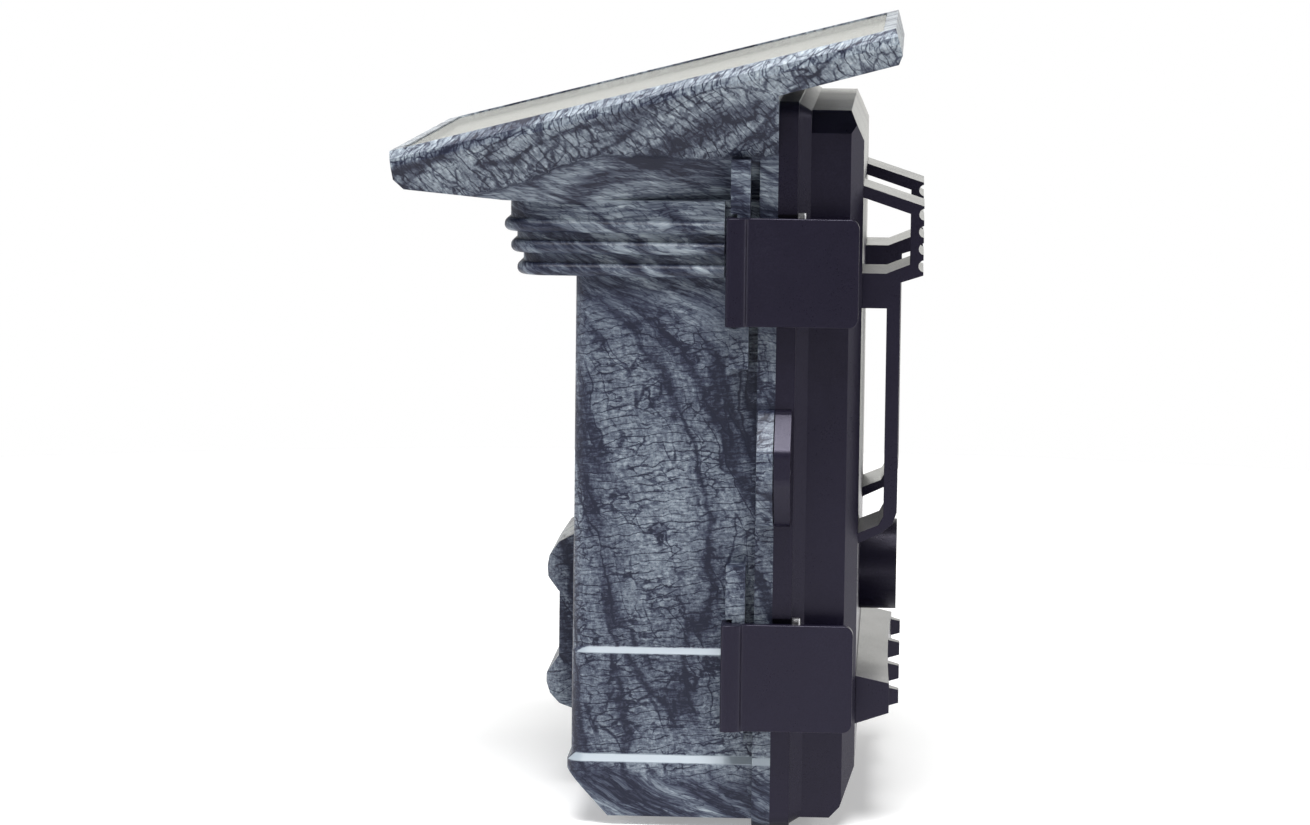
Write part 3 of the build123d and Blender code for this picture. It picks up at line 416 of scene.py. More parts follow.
    def paint(self, graph: Graph, shader: bpy.types.NodeInputs) -> None:
        """Bark on the head and body, grain between them and round the base, with painted highlights on the
        side ledges and on the head's top rim.
        """
        x, y, z = graph.place()
        u = x + y
        w = (x - y) * 0.3
        ragged = (graph.noise(graph.join(u, z, w), 0.12, 4.0, 0.65) - 0.5) * 12.0
        line = (y * self.grain_slope + self.grain_foot).least(self.grain_top)
        head = (z - line + ragged * 0.35).rise(-0.5, 0.5)
        under = (z + ragged * 1.5).rise(*self.under_band)
        base = (z + ragged * 0.8).rise(*self.base_band)
        grainy = ((1.0 - head) * under).most(base)
        tone = grainy.blend(self.bark(graph, u, z, w, head), self.grain(graph, u, z, w))
        long = self.furrow_line(z - y * 0.5 - 131.2 + ragged * 0.3, y, (-24.0, 20.0), 3.4)
        short = self.furrow_line(z - y * 0.44 - 148.9 + ragged * 0.25, y, (-60.0, -22.0), 1.9)
        # Painted highlight: the head's upper rim, above a line parallel to its top, is lightened where the
        # top bevel catches the light.
        rim_highlight = (z - y * self.rim_highlight_slope - self.rim_highlight_start).rise(0.0, 1.6) * head
        seam = abs(z - line + ragged * 0.35).rise(2.0, 0.0)
        tone = tone - seam * 0.15 - long * 0.34 - short * 0.26 - base * 0.06 + rim_highlight * 0.12
        # Painted highlight: each step ledge on the sides is blended to a pale tone, standing in for the
        # overhead light that the ledges catch.
        side = abs(x).rise(self.body_half, self.body_half + 0.3)
        for height in self.ledges:
            tone = (abs(z - height).rise(0.95, 0.55) * side).blend(tone, self.ledge_highlight_tone)
        graph.feed(shader["Base Color"], graph.tint(tone, self.stops))
        speck = graph.noise(graph.join(x, y, z), 2.4, 2.0)
        graph.feed(shader["Roughness"], self.dullness - tone * 0.10 + (speck - 0.5) * 0.12)
        shader["Specular IOR Level"].default_value = self.gloss
        graph.feed(shader["Normal"], graph.bump(tone * 0.7 + speck * 0.3, self.relief, self.relief_depth))


@dataclass(frozen=True)
class MouldedPlastic(Finish):
    """Moulded plastic with a fine spark texture and faint handling marks."""

    colour: Colour = (0.0052, 0.0042, 0.0110)
    worn: Colour = (0.012, 0.011, 0.022)
    roughness: float = 0.31
    grain: float = 3.2
    relief: float = 0.00006
    shine: float = 0.27

    def paint(self, graph: Graph, shader: bpy.types.NodeInputs) -> None:
        """Near-even colour, with grain in the gloss and the surface."""
        x, y, z = graph.place()
        at = graph.join(x, y, z)
        pits = graph.noise(at, self.grain, 2.0, 0.6)
        cloud = graph.noise(at, 0.06, 3.0, 0.6)
        rub = graph.noise(graph.join(x * 0.3, y * 0.3, z * 2.2), 0.5, 4.0, 0.7)
        share = (cloud.rise(0.35, 0.75) * 0.45 + rub.rise(0.62, 0.8) * 0.35) * pits.rise(0.3, 0.7)
        graph.feed(shader["Base Color"], graph.mix(share, self.colour, self.worn))
        gloss = self.roughness + (pits - 0.5) * 0.16 + (cloud - 0.5) * 0.14
        graph.feed(shader["Roughness"], gloss)
        graph.feed(shader["Normal"], graph.bump(pits, 0.4, self.relief))
        shader["Specular IOR Level"].default_value = self.shine
        shader["Specular Tint"].default_value = (0.82, 0.78, 1.0, 1.0)


@dataclass(frozen=True)
class SolarCells(Finish):
    """Dark silicon cells with silver fingers and busbars, on a sloping panel."""

    name: str = "solar_wafers"
    slope: float = 0.2508
    cell: float = 30.0
    silicon: Colour = (0.006, 0.009, 0.026)
    silver: Colour = (0.55, 0.56, 0.58)
    backing: Colour = (0.020, 0.021, 0.028)

    def paint(self, graph: Graph, shader: bpy.types.NodeInputs) -> None:
        """Cells, gaps, fingers and busbars."""
        x, y, z = graph.place()
        along = y * math.cos(self.slope) + z * math.sin(self.slope)
        column = (x + self.cell / 2).wrap(self.cell)
        row = (along + self.cell / 2).wrap(self.cell)
        side = (column.least(self.cell - column)).least(row.least(self.cell - row))
        gap = side.rise(0.62, 0.5)
        fingers = abs(row.wrap(1.5) - 0.75).rise(0.07, 0.04)
        bars = abs(column.wrap(10.0) - 5.0).rise(0.46, 0.40)
        cloud = graph.noise(graph.join(x, along, z), 0.12, 3.0, 0.6)
        blue = graph.mix(cloud.rise(0.3, 0.7), self.silicon, (0.010, 0.016, 0.046))
        metal = (fingers * 0.5).most(bars) * (1.0 - gap)
        colour = graph.mix(metal * 0.8, graph.mix(gap, blue, self.backing), self.silver)
        graph.feed(shader["Base Color"], colour)
        graph.feed(shader["Metallic"], metal * 0.8)
        graph.feed(shader["Roughness"], 0.3 - metal * 0.06 + (cloud - 0.5) * 0.1)
        graph.feed(shader["Normal"], graph.bump(metal, 0.3, 0.00005))


@dataclass(frozen=True)
class ClearSheet(Finish):
    """Clear or smoked moulded sheet, seen through in part."""

    colour: Colour = (0.62, 0.64, 0.66)
    cover: float = 0.18
    roughness: float = 0.16
    haze: float = 0.05

    def paint(self, graph: Graph, shader: bpy.types.NodeInputs) -> None:
        """A thin tinted film whose cover and gloss vary a little."""
        x, y, z = graph.place()
        at = graph.join(x, y, z)
        dust = graph.noise(at, 0.09, 4.0, 0.65)
        shader["Base Color"].default_value = (*self.colour, 1.0)
        shader["IOR"].default_value = 1.5
        graph.feed(shader["Alpha"], self.cover + (dust - 0.5) * self.haze)
        graph.feed(shader["Roughness"], self.roughness + (dust - 0.5) * 0.05)


@dataclass(frozen=True)
class Metal(Finish):
    """Turned or plated metal with drawn lines and a few dull spots."""

    colour: Colour = (0.42, 0.42, 0.43)
    dull: Colour = (0.20, 0.20, 0.21)
    roughness: float = 0.3

    def paint(self, graph: Graph, shader: bpy.types.NodeInputs) -> None:
        """Metal with streaks in its gloss."""
        x, y, z = graph.place()
        at = graph.join(x, y, z)
        spots = graph.noise(at, 0.7, 4.0, 0.65)
        lines = graph.noise(graph.join(x * 0.6, y * 5.0, z * 0.6), 2.0, 3.0)
        graph.feed(shader["Base Color"], graph.mix(spots.rise(0.42, 0.7), self.colour, self.dull))
        shader["Metallic"].default_value = 1.0
        graph.feed(shader["Roughness"], self.roughness + (spots - 0.5) * 0.22 + (lines - 0.5) * 0.1)
        graph.feed(shader["Normal"], graph.bump(lines, 0.2, 0.00003))


@dataclass(frozen=True)
class Rubber(Finish):
    """Soft moulded rubber, matt, with dust in its grain."""

    colour: Colour = (0.014, 0.014, 0.015)
    dusty: Colour = (0.055, 0.055, 0.057)
    roughness: float = 0.72

    def paint(self, graph: Graph, shader: bpy.types.NodeInputs) -> None:
        """Matt grain with pale dust."""
        x, y, z = graph.place()
        at = graph.join(x, y, z)
        grain = graph.noise(at, 4.5, 3.0, 0.65)
        dust = graph.noise(at, 0.25, 3.0, 0.6)
        share = dust.rise(0.45, 0.75) * grain.rise(0.4, 0.65)
        graph.feed(shader["Base Color"], graph.mix(share, self.colour, self.dusty))
        graph.feed(shader["Roughness"], self.roughness + (grain - 0.5) * 0.2)
        graph.feed(shader["Normal"], graph.bump(grain, 0.5, 0.00008))


@dataclass(frozen=True)
class CircuitBoard(Finish):
    """Green solder mask with copper tracks beneath and tinned pads."""

    name: str = "circuit_mask"
    mask: Colour = (0.008, 0.062, 0.028)
    track: Colour = (0.020, 0.125, 0.052)
    pad: Colour = (0.52, 0.50, 0.44)

    def paint(self, graph: Graph, shader: bpy.types.NodeInputs) -> None:
        """Square-cornered tracks and scattered pads."""
        x, y, z = graph.place()
        lanes = graph.node(
            "ShaderNodeTexVoronoi",
            {"feature": "F1", "distance": "CHEBYCHEV"},
            {"Vector": graph.join(x, y * 0.2, z), "Scale": 0.34},
        )
        reach = Value(graph, lanes.outputs[0])
        tracks = (reach * 26.0).sine().rise(0.2, 0.6)
        dots = Value(graph, graph.cells(graph.join(x, y * 0.2, z), 0.42).outputs[0])
        pads = dots.rise(0.2, 0.17)
        colour = graph.mix(tracks, self.mask, self.track)
        graph.feed(shader["Base Color"], graph.mix(pads, colour, self.pad))
        graph.feed(shader["Metallic"], pads * 0.9)
        graph.feed(shader["Roughness"], 0.34 + tracks * 0.06 - pads * 0.06)
        graph.feed(shader["Normal"], graph.bump(tracks * 0.5 + pads, 0.4, 0.00004))


@dataclass(frozen=True)
class LampEpoxy(Finish):
    """Water-clear lamp epoxy, tinted violet."""

    name: str = "lamp_body"
    colour: Colour = (0.13, 0.12, 0.17)

    def paint(self, graph: Graph, shader: bpy.types.NodeInputs) -> None:
        """Tinted gloss with faint swirls."""
        x, y, z = graph.place()
        swirl = graph.noise(graph.join(x, y, z), 0.9, 3.0)
        graph.feed(shader["Base Color"], graph.mix(swirl, self.colour, (0.30, 0.28, 0.36)))
        graph.feed(shader["Roughness"], 0.08 + swirl * 0.1)
        shader["Coat Weight"].default_value = 0.6


@dataclass(frozen=True)
class SensorLens(Finish):
    """Milky moulded sensor lens with rings of fine facets."""

    name: str = "sensor_skin"
    centre: float = 34.0
    colour: Colour = (0.42, 0.43, 0.44)

    def paint(self, graph: Graph, shader: bpy.types.NodeInputs) -> None:
        """Facet columns, each with its own rings."""
        x, y, z = graph.place()
        cell_x = (x + 4.0).wrap(8.0) - 4.0
        cell_z = (z - self.centre + 2.5).wrap(5.0) - 2.5
        span = (cell_x * cell_x + cell_z * cell_z) ** 0.5
        rings = span.wrap(0.42) / 0.42
        walls = abs(cell_x).rise(3.8, 3.95).most(abs(cell_z).rise(2.32, 2.45))
        cloud = graph.noise(graph.join(x, y, z), 0.5, 3.0)
        tone = rings * 0.25 + cloud * 0.4 + walls * 0.35
        graph.feed(shader["Base Color"], graph.mix(tone, self.colour, (0.66, 0.67, 0.68)))
        graph.feed(shader["Roughness"], 0.34 + cloud * 0.12)
        graph.feed(shader["Normal"], graph.bump(rings + walls, 0.7, 0.00022))


@dataclass(frozen=True)
class ScreenFace(Finish):
    """A display that is off: near-black with a faint cell grid."""

    name: str = "screen_off"

    def paint(self, graph: Graph, shader: bpy.types.NodeInputs) -> None:
        """Fine grid under gloss."""
        x, y, z = graph.place()
        grid = abs(x.wrap(0.3) - 0.15).rise(0.05, 0.02).most(abs(z.wrap(0.3) - 0.15).rise(0.05, 0.02))
        cloud = graph.noise(graph.join(x, y, z), 0.05, 2.0)
        colour = graph.mix(grid * 0.5 + cloud * 0.4, (0.008, 0.010, 0.014), (0.022, 0.027, 0.036))
        graph.feed(shader["Base Color"], colour)
        graph.feed(shader["Roughness"], 0.14 + cloud * 0.08)


@dataclass(frozen=True)
class Wrapped(Finish):
    """Printed shrink sleeve: two plain bands and a seam."""

    body: Colour = (0.030, 0.032, 0.036)
    band: Colour = (0.34, 0.17, 0.045)
    split: float = 48.0

    def paint(self, graph: Graph, shader: bpy.types.NodeInputs) -> None:
        """Dark sleeve with a copper band at the positive end."""
        x, y, z = graph.place()
        wave = graph.noise(graph.join(x, y, z), 0.4, 3.0)
        share = (z + (wave - 0.5) * 0.1).rise(self.split, self.split + 0.15)
        graph.feed(shader["Base Color"], graph.mix(share, self.body, self.band))
        graph.feed(shader["Roughness"], 0.24 + wave * 0.12)
        graph.feed(shader["Metallic"], share * 0.55)
        graph.feed(shader["Normal"], graph.bump(wave, 0.15, 0.0001))


def dress(finish: Material, *nodes: str) -> None:
    """Gives CAD nodes a finish."""
    for name in nodes:
        frame["nodes"][name].data.materials[0] = finish


def islands(node: str) -> list[tuple[Vector, Vector]]:
    """Boxes of a CAD node's separate solids.

    Args:
        node: the node's name.

    Returns:
        The lowest and highest corner of each solid, in order along X and then Z.
    """
    shape = bmesh.new()
    shape.from_mesh(frame["nodes"][node].data)
    bmesh.ops.remove_doubles(shape, verts=shape.verts, dist=0.002 * MM)
    left, boxes = set(shape.verts), []
    while left:
        open_ends, found = [left.pop()], []
        while open_ends:
            corner = open_ends.pop()
            found.append(corner.co.copy())
            for edge in corner.link_edges:
                other = edge.other_vert(corner)
                if other in left:
                    left.remove(other)
                    open_ends.append(other)
        low = Vector(min(point[k] for point in found) for k in range(3))
        high = Vector(max(point[k] for point in found) for k in range(3))
        boxes.append((low, high))
    shape.free()
    return sorted(boxes, key=lambda box: (round(box[0].x, 4), round(box[0].z, 4)))


def middle(box: tuple[Vector, Vector]) -> Vector:
    """The middle of a box."""
    return (box[0] + box[1]) / 2


def as_piece(name: str, mesh: bpy.types.Mesh, finish: Material | None) -> Piece:
    """Makes an object of a mesh that is already in place.

    Args:
        name: the piece's name.
        mesh: its mesh, in the frame.
        finish: its material, or None where the mesh already has one.

    Returns:
        The object, at the origin.
    """
    made = bpy.data.objects.new(name, mesh)
    bpy.context.scene.collection.objects.link(made)
    if finish is not None:
        mesh.materials.clear()
        mesh.materials.append(finish)
    return made


def settle(piece: Piece, like: str, replaced: Sequence[str] = ()) -> None:
    """Rides a finished piece on the body of a CAD node and what it replaces."""
    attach(piece, frame["nodes"][like]["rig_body"])
    if replaced:
        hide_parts(*replaced)
    log.info("%s: %d faces", piece.name, len(piece.data.polygons))


class Repeat:
    """A geometry tree that repeats one shape at points, or grows one along a rule."""

    def __init__(self, name: str, sizes: dict[str, float]) -> None:
        """Opens the tree with a named input for each size.

        Args:
            name: the tree's name.
            sizes: the inputs' names and values.
        """
        self.name = name
        self.sizes = sizes
        self.tree = bpy.data.node_groups.new(name, "GeometryNodeTree")
        self.graph = Graph(self.tree)
        face = self.tree.interface
        face.new_socket("Points", in_out="INPUT", socket_type="NodeSocketGeometry")
        self.keys = {
            size: face.new_socket(size, in_out="INPUT", socket_type="NodeSocketFloat").identifier
            for size in sizes
        }
        face.new_socket("Shape", in_out="OUTPUT", socket_type="NodeSocketGeometry")
        self.start = self.graph.node("NodeGroupInput")

    def size(self, name: str) -> Value:
        """The value of one named input."""
        return Value(self.graph, self.start.outputs[name])

    def solid(self, kind: str, settings: dict | None = None, **inputs: object) -> Socket:
        """A mesh primitive's geometry; an input's name has _ for its spaces."""
        named = {key.replace("_", " "): value for key, value in inputs.items()}
        return self.graph.node(kind, settings, named).outputs[0]

    def raised(self, shape: Socket, height: Value) -> Socket:
        """A shape moved along +Z."""
        values = {"Geometry": shape, "Translation": self.graph.join(0.0, 0.0, height)}
        return self.graph.node("GeometryNodeTransform", None, values).outputs[0]

    def cuboid(self) -> Socket:
        """A block whose sides are the inputs long, wide and high."""
        sides = self.graph.join(self.size("long"), self.size("wide"), self.size("high"))
        return self.solid("GeometryNodeMeshCube", Size=sides)

    def coil(self, turns: float, steps: int, sides: int, spans: Sequence[str]) -> Socket:
        """A spiral of round wire, as thick as the input wire.

        Args:
            turns: how many times it goes round.
            steps: points in each turn.
            sides: corners of the wire's section.
            spans: the inputs for its first radius, last radius and height.
        """
        start, end, height = (self.size(span) for span in spans)
        helix = self.solid(
            "GeometryNodeCurveSpiral", Resolution=steps, Rotations=turns,
            Start_Radius=start, End_Radius=end, Height=height,
        )
        section = self.solid("GeometryNodeCurvePrimitiveCircle", Resolution=sides, Radius=self.size("wire"))
        values = {"Curve": helix, "Profile Curve": section, "Fill Caps": True}
        return self.graph.node("GeometryNodeCurveToMesh", None, values).outputs[0]

    def joined(self, *shapes: Socket) -> Socket:
        """Several shapes as one."""
        made = self.graph.node("GeometryNodeJoinGeometry")
        for shape in shapes:
            self.tree.links.new(shape, made.inputs[0])
        return made.outputs[0]

    def less(self, shape: Socket, *tools: Socket) -> Socket:
        """A shape with others cut out of it."""
        made = self.graph.node("GeometryNodeMeshBoolean", {"operation": "DIFFERENCE", "solver": "EXACT"})
        self.tree.links.new(shape, made.inputs[0])
        for tool in tools:
            self.tree.links.new(tool, made.inputs[1])
        return made.outputs[0]

    def finish(
        self,
        unit: Socket,
        points: Sequence[Vector],
        facing: Axis,
        finish: Material,
        spin: float = 0.0,
    ) -> Piece:
        """Repeats the unit at the points and turns the result into a plain piece.

        Args:
            unit: the shape, built along +Z at the origin.
            points: where the copies stand, in the frame.
            facing: the way that the unit's +Z points.
            finish: the material.
            spin: how much further each copy is turned about its own axis.

        Returns:
            The piece, at the origin.
        """
        align = self.graph.node(
            "FunctionNodeAlignRotationToVector", {"axis": "Z"}, {"Vector": tuple(facing.value)}
        )
        turn = self.graph.node(
            "FunctionNodeRotateRotation",
            {"rotation_space": "LOCAL"},
            {0: align.outputs[0], 1: self._turns(spin)},
        )
        spread = self.graph.node(
            "GeometryNodeInstanceOnPoints",
            None,
            {"Points": self.start.outputs["Points"], "Instance": unit, "Rotation": turn.outputs[0]},
        )
        real = self.graph.node("GeometryNodeRealizeInstances", None, {0: spread.outputs[0]})
        coated = self.graph.node("GeometryNodeSetMaterial", None, {"Geometry": real.outputs[0]})
        coated.inputs["Material"].default_value = finish
        self.graph.node("NodeGroupOutput", None, {0: coated.outputs[0]})
        host_mesh = bpy.data.meshes.new(self.name + "_points")
        host_mesh.from_pydata([tuple(point) for point in points], [], [])
        host = bpy.data.objects.new(self.name + "_host", host_mesh)
        bpy.context.scene.collection.objects.link(host)
        modifier = host.modifiers.new("repeat", "NODES")
        modifier.node_group = self.tree
        for size, value in self.sizes.items():
            modifier[self.keys[size]] = float(value)
        bpy.context.view_layer.update()
        grown = host.evaluated_get(bpy.context.evaluated_depsgraph_get())
        mesh = bpy.data.meshes.new_from_object(grown)
        mesh.name = self.name
        bpy.data.objects.remove(host)
        return as_piece(self.name, mesh, None)

    def _turns(self, spin: float) -> Socket:
        """A rotation about Z that grows with each copy."""
        index = Value(self.graph, self.graph.node("GeometryNodeInputIndex").outputs[0])
        angles = self.graph.join(0.0, 0.0, index * spin)
        return self.graph.node("FunctionNodeEulerToRotation", None, {0: angles}).outputs[0]


def smoothed(mesh: bpy.types.Mesh, angle: float = 35.0) -> bpy.types.Mesh:
    """Shades a mesh smooth, but for edges sharper than an angle in degrees."""
    for face in mesh.polygons:
        face.use_smooth = True
    mesh.set_sharp_from_angle(angle=math.radians(angle))
    return mesh


WELD = 0.004 * MM
FLAT_ANGLE = 1.0
SHARP_ANGLE = 24.0
ROUNDED_ANGLE = 28.0


def softened(name: str, nodes: Sequence[str], width: float, finish: Material) -> Piece:
    """A merged copy of CAD nodes whose sharp edges are rounded off.

    Args:
        name: the new piece's name.
        nodes: the CAD nodes that it stands for, all on one body.
        width: the rounding's width in millimetres.
        finish: its material.

    Returns:
        The piece, riding on the nodes' body.
    """
    shape = bmesh.new()
    for node in nodes:
        shape.from_mesh(frame["nodes"][node].data)
    bmesh.ops.remove_doubles(shape, verts=shape.verts, dist=WELD)
    bmesh.ops.dissolve_limit(
        shape, angle_limit=math.radians(FLAT_ANGLE), verts=shape.verts, edges=shape.edges,
        delimit={"NORMAL"},
    )
    mesh = bpy.data.meshes.new(name)
    shape.to_mesh(mesh)
    shape.free()
    host = as_piece(name + "_host", smoothed(mesh, SHARP_ANGLE), None)
    bevel = host.modifiers.new("round", "BEVEL")
    bevel.width = width * MM
    bevel.segments = 2
    bevel.limit_method = "ANGLE"
    bevel.angle_limit = math.radians(ROUNDED_ANGLE)
    bevel.use_clamp_overlap = True
    bevel.harden_normals = False
    weigh = host.modifiers.new("weigh", "WEIGHTED_NORMAL")
    weigh.keep_sharp = True
    bpy.context.view_layer.update()
    mesh = bpy.data.meshes.new_from_object(host.evaluated_get(bpy.context.evaluated_depsgraph_get()))
    mesh.name = name
    bpy.data.objects.remove(host)
    return as_piece(name, mesh, finish)


def block_sizes(sides: Point) -> dict[str, float]:
    """The inputs of a repeated block, from its sides in millimetres."""
    return {name: side * MM for name, side in zip(("long", "wide", "high"), sides)}


@dataclass
class Fasteners:
    """Cross-recessed screws, and the threads in the two tripod sockets. Sizes are in millimetres."""

    taper: float = 0.86
    slot_length: float = 1.5
    slot_width: float = 0.26
    slot_depth: float = 0.55
    shank: float = 0.52
    turned: float = 0.7
    pitch: float = 1.27
    wire: float = 0.26
    thread_radius: float = 2.5
    thread_share: float = 0.9
    thread_start: float = 0.47

    def screws(self, node: str, head: float, facing: Axis, finish: Material) -> None:
        """Replaces a node of plain screws.

        Args:
            node: the CAD node.
            head: how thick a head is.
            facing: the way the heads face.
            finish: the metal.
        """
        boxes = islands(node)
        way = Vector(facing.value)
        size = boxes[0][1] - boxes[0][0]
        radius = max(size.x, size.z) / 2
        length = abs(size.dot(way))
        sizes = {"radius": radius, "head": head * MM, "shank": length - head * MM}
        tree = Repeat(node + "_turned", sizes)
        bulk, thick, reach = tree.size("radius"), tree.size("head"), tree.size("shank")
        top = tree.solid(
            "GeometryNodeMeshCone", Vertices=40, Side_Segments=1, Radius_Top=bulk * self.taper,
            Radius_Bottom=bulk, Depth=thick,
        )
        top = tree.raised(top, thick * -1.0)
        long, wide, deep = bulk * self.slot_length, bulk * self.slot_width, thick * self.slot_depth * 2.0
        slots = [
            tree.solid("GeometryNodeMeshCube", Size=tree.graph.join(*sides))
            for sides in ((long, wide, deep), (wide, long, deep))
        ]
        head_cut = tree.less(top, *slots)
        shank = tree.solid("GeometryNodeMeshCylinder", Vertices=24, Radius=bulk * self.shank, Depth=reach)
        shank = tree.raised(shank, (thick + reach * 0.5) * -1.0)
        places = [middle(box) + way * abs((box[1] - box[0]).dot(way)) / 2 for box in boxes]
        piece = tree.finish(tree.joined(head_cut, shank), places, facing, finish, self.turned)
        settle(piece, node, [node])

    def thread(self, node: str, facing: Axis, finish: Material) -> None:
        """A helical thread inside a socket.

        Args:
            node: the insert's CAD node.
            facing: the way into the socket.
            finish: the metal.
        """
        low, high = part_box(node)
        way = Vector(facing.value)
        depth = abs((high - low).dot(way))
        reach = depth * self.thread_share
        sizes = {"radius": self.thread_radius * MM, "depth": reach, "wire": self.wire * MM}
        tree = Repeat(node + "_thread", sizes)
        wound = tree.coil(reach / MM / self.pitch, 28, 6, ("radius", "radius", "depth"))
        mouth = (low + high) / 2 - way * depth * self.thread_start
        settle(tree.finish(wound, [mouth], facing, finish), node)


@dataclass
class NightLamps:
    """The infrared lamps and the small parts between them. Sizes are in millimetres."""

    flange: float = 1.13
    flange_height: float = 0.9
    chip: Point = (1.2, 0.6, 0.5)
    chip_offset: float = 3.75
    chip_inner: float = 11.0
    chip_outer: float = 30.0

    def lamps(self, finish: Material) -> None:
        """Domed lamps with a flange at the foot."""
        boxes = islands("infrared_lamps")
        size = boxes[0][1] - boxes[0][0]
        sizes = {"radius": size.x / 2, "length": size.y, "foot": self.flange_height * MM}
        tree = Repeat("infrared_lamp_set", sizes)
        bulk, long, foot = tree.size("radius"), tree.size("length"), tree.size("foot")
        straight = long - bulk
        barrel = tree.solid("GeometryNodeMeshCylinder", Vertices=32, Radius=bulk, Depth=straight)
        barrel = tree.raised(barrel, straight * 0.5)
        dome = tree.solid("GeometryNodeMeshUVSphere", Segments=32, Rings=16, Radius=bulk)
        dome = tree.raised(dome, straight)
        base = tree.solid("GeometryNodeMeshCylinder", Vertices=32, Radius=bulk * self.flange, Depth=foot)
        base = tree.raised(base, foot * 0.5)
        shape = tree.graph.node(
            "GeometryNodeSetShadeSmooth", None, {"Geometry": tree.joined(barrel, dome, base)}
        ).outputs[0]
        points = [Vector((middle(box).x, box[1].y, middle(box).z)) for box in boxes]
        piece = tree.finish(shape, points, Axis.FRONT, finish)
        smoothed(piece.data)
        settle(piece, "infrared_lamps", ["infrared_lamps"])

    def chips(self, finish: Material) -> None:
        """Small resistors on the lamp board."""
        low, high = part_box("lamp_board")
        lamps = [middle(box) for box in islands("infrared_lamps")]
        tree = Repeat("lamp_board_chips", block_sizes(self.chip))
        beside = self.chip_offset * MM
        points = [
            Vector((lamp.x + beside, low.y - 0.2 * MM, lamp.z)) for lamp in lamps
            if abs(lamp.x + beside) > self.chip_inner * MM and lamp.x < self.chip_outer * MM
        ]
        piece = tree.finish(tree.cuboid(), points, Axis.FRONT, finish, 1.5708)
        settle(piece, "lamp_board")


@dataclass
class BatteryBay:
    """Springs at the cells' negative ends and grip ribs on the cover. Sizes are in millimetres."""

    wire: float = 0.32
    turns: float = 3.0
    wide: float = 3.6
    narrow: float = 2.0
    high: float = 1.1
    rib: Point = (18.0, 0.7, 0.5)
    rib_count: int = 5
    rib_drop: float = 9.5
    rib_pitch: float = 1.8
    rib_sunk: float = 0.8

    def springs(self, finish: Material) -> None:
        """Conical springs between the contacts and the cells."""
        contacts = islands("battery_contacts")
        cells = islands("battery_cells")
        for at_top, facing, name in ((False, Axis.UP, "springs_below"), (True, Axis.DOWN, "springs_above")):
            points = []
            for index, cell in enumerate(cells):
                if (index % 2 == 1) != at_top:
                    continue
                plate = min(
                    (box for box in contacts if (middle(box).z > middle(cell).z) == at_top),
                    key=lambda box: abs(middle(box).x - middle(cell).x),
                )
                foot = plate[0].z if at_top else plate[1].z
                points.append(Vector((middle(cell).x, middle(cell).y, foot)))
            sizes = {key: getattr(self, key) * MM for key in ("wide", "narrow", "high", "wire")}
            tree = Repeat("battery_" + name, sizes)
            wound = tree.coil(self.turns, 24, 8, ("wide", "narrow", "high"))
            settle(tree.finish(wound, points, facing, finish), "battery_contacts")

    def grip(self, finish: Material) -> None:
        """Short ribs on the cover, under its finger notch."""
        low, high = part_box("battery_cover")
        tree = Repeat("battery_cover_grip", block_sizes(self.rib))
        drops = [self.rib_drop + self.rib_pitch * step for step in range(self.rib_count)]
        points = [Vector((0.0, high.y - self.rib_sunk * MM, high.z - drop * MM)) for drop in drops]
        settle(tree.finish(tree.cuboid(), points, Axis.REAR, finish), "battery_cover")


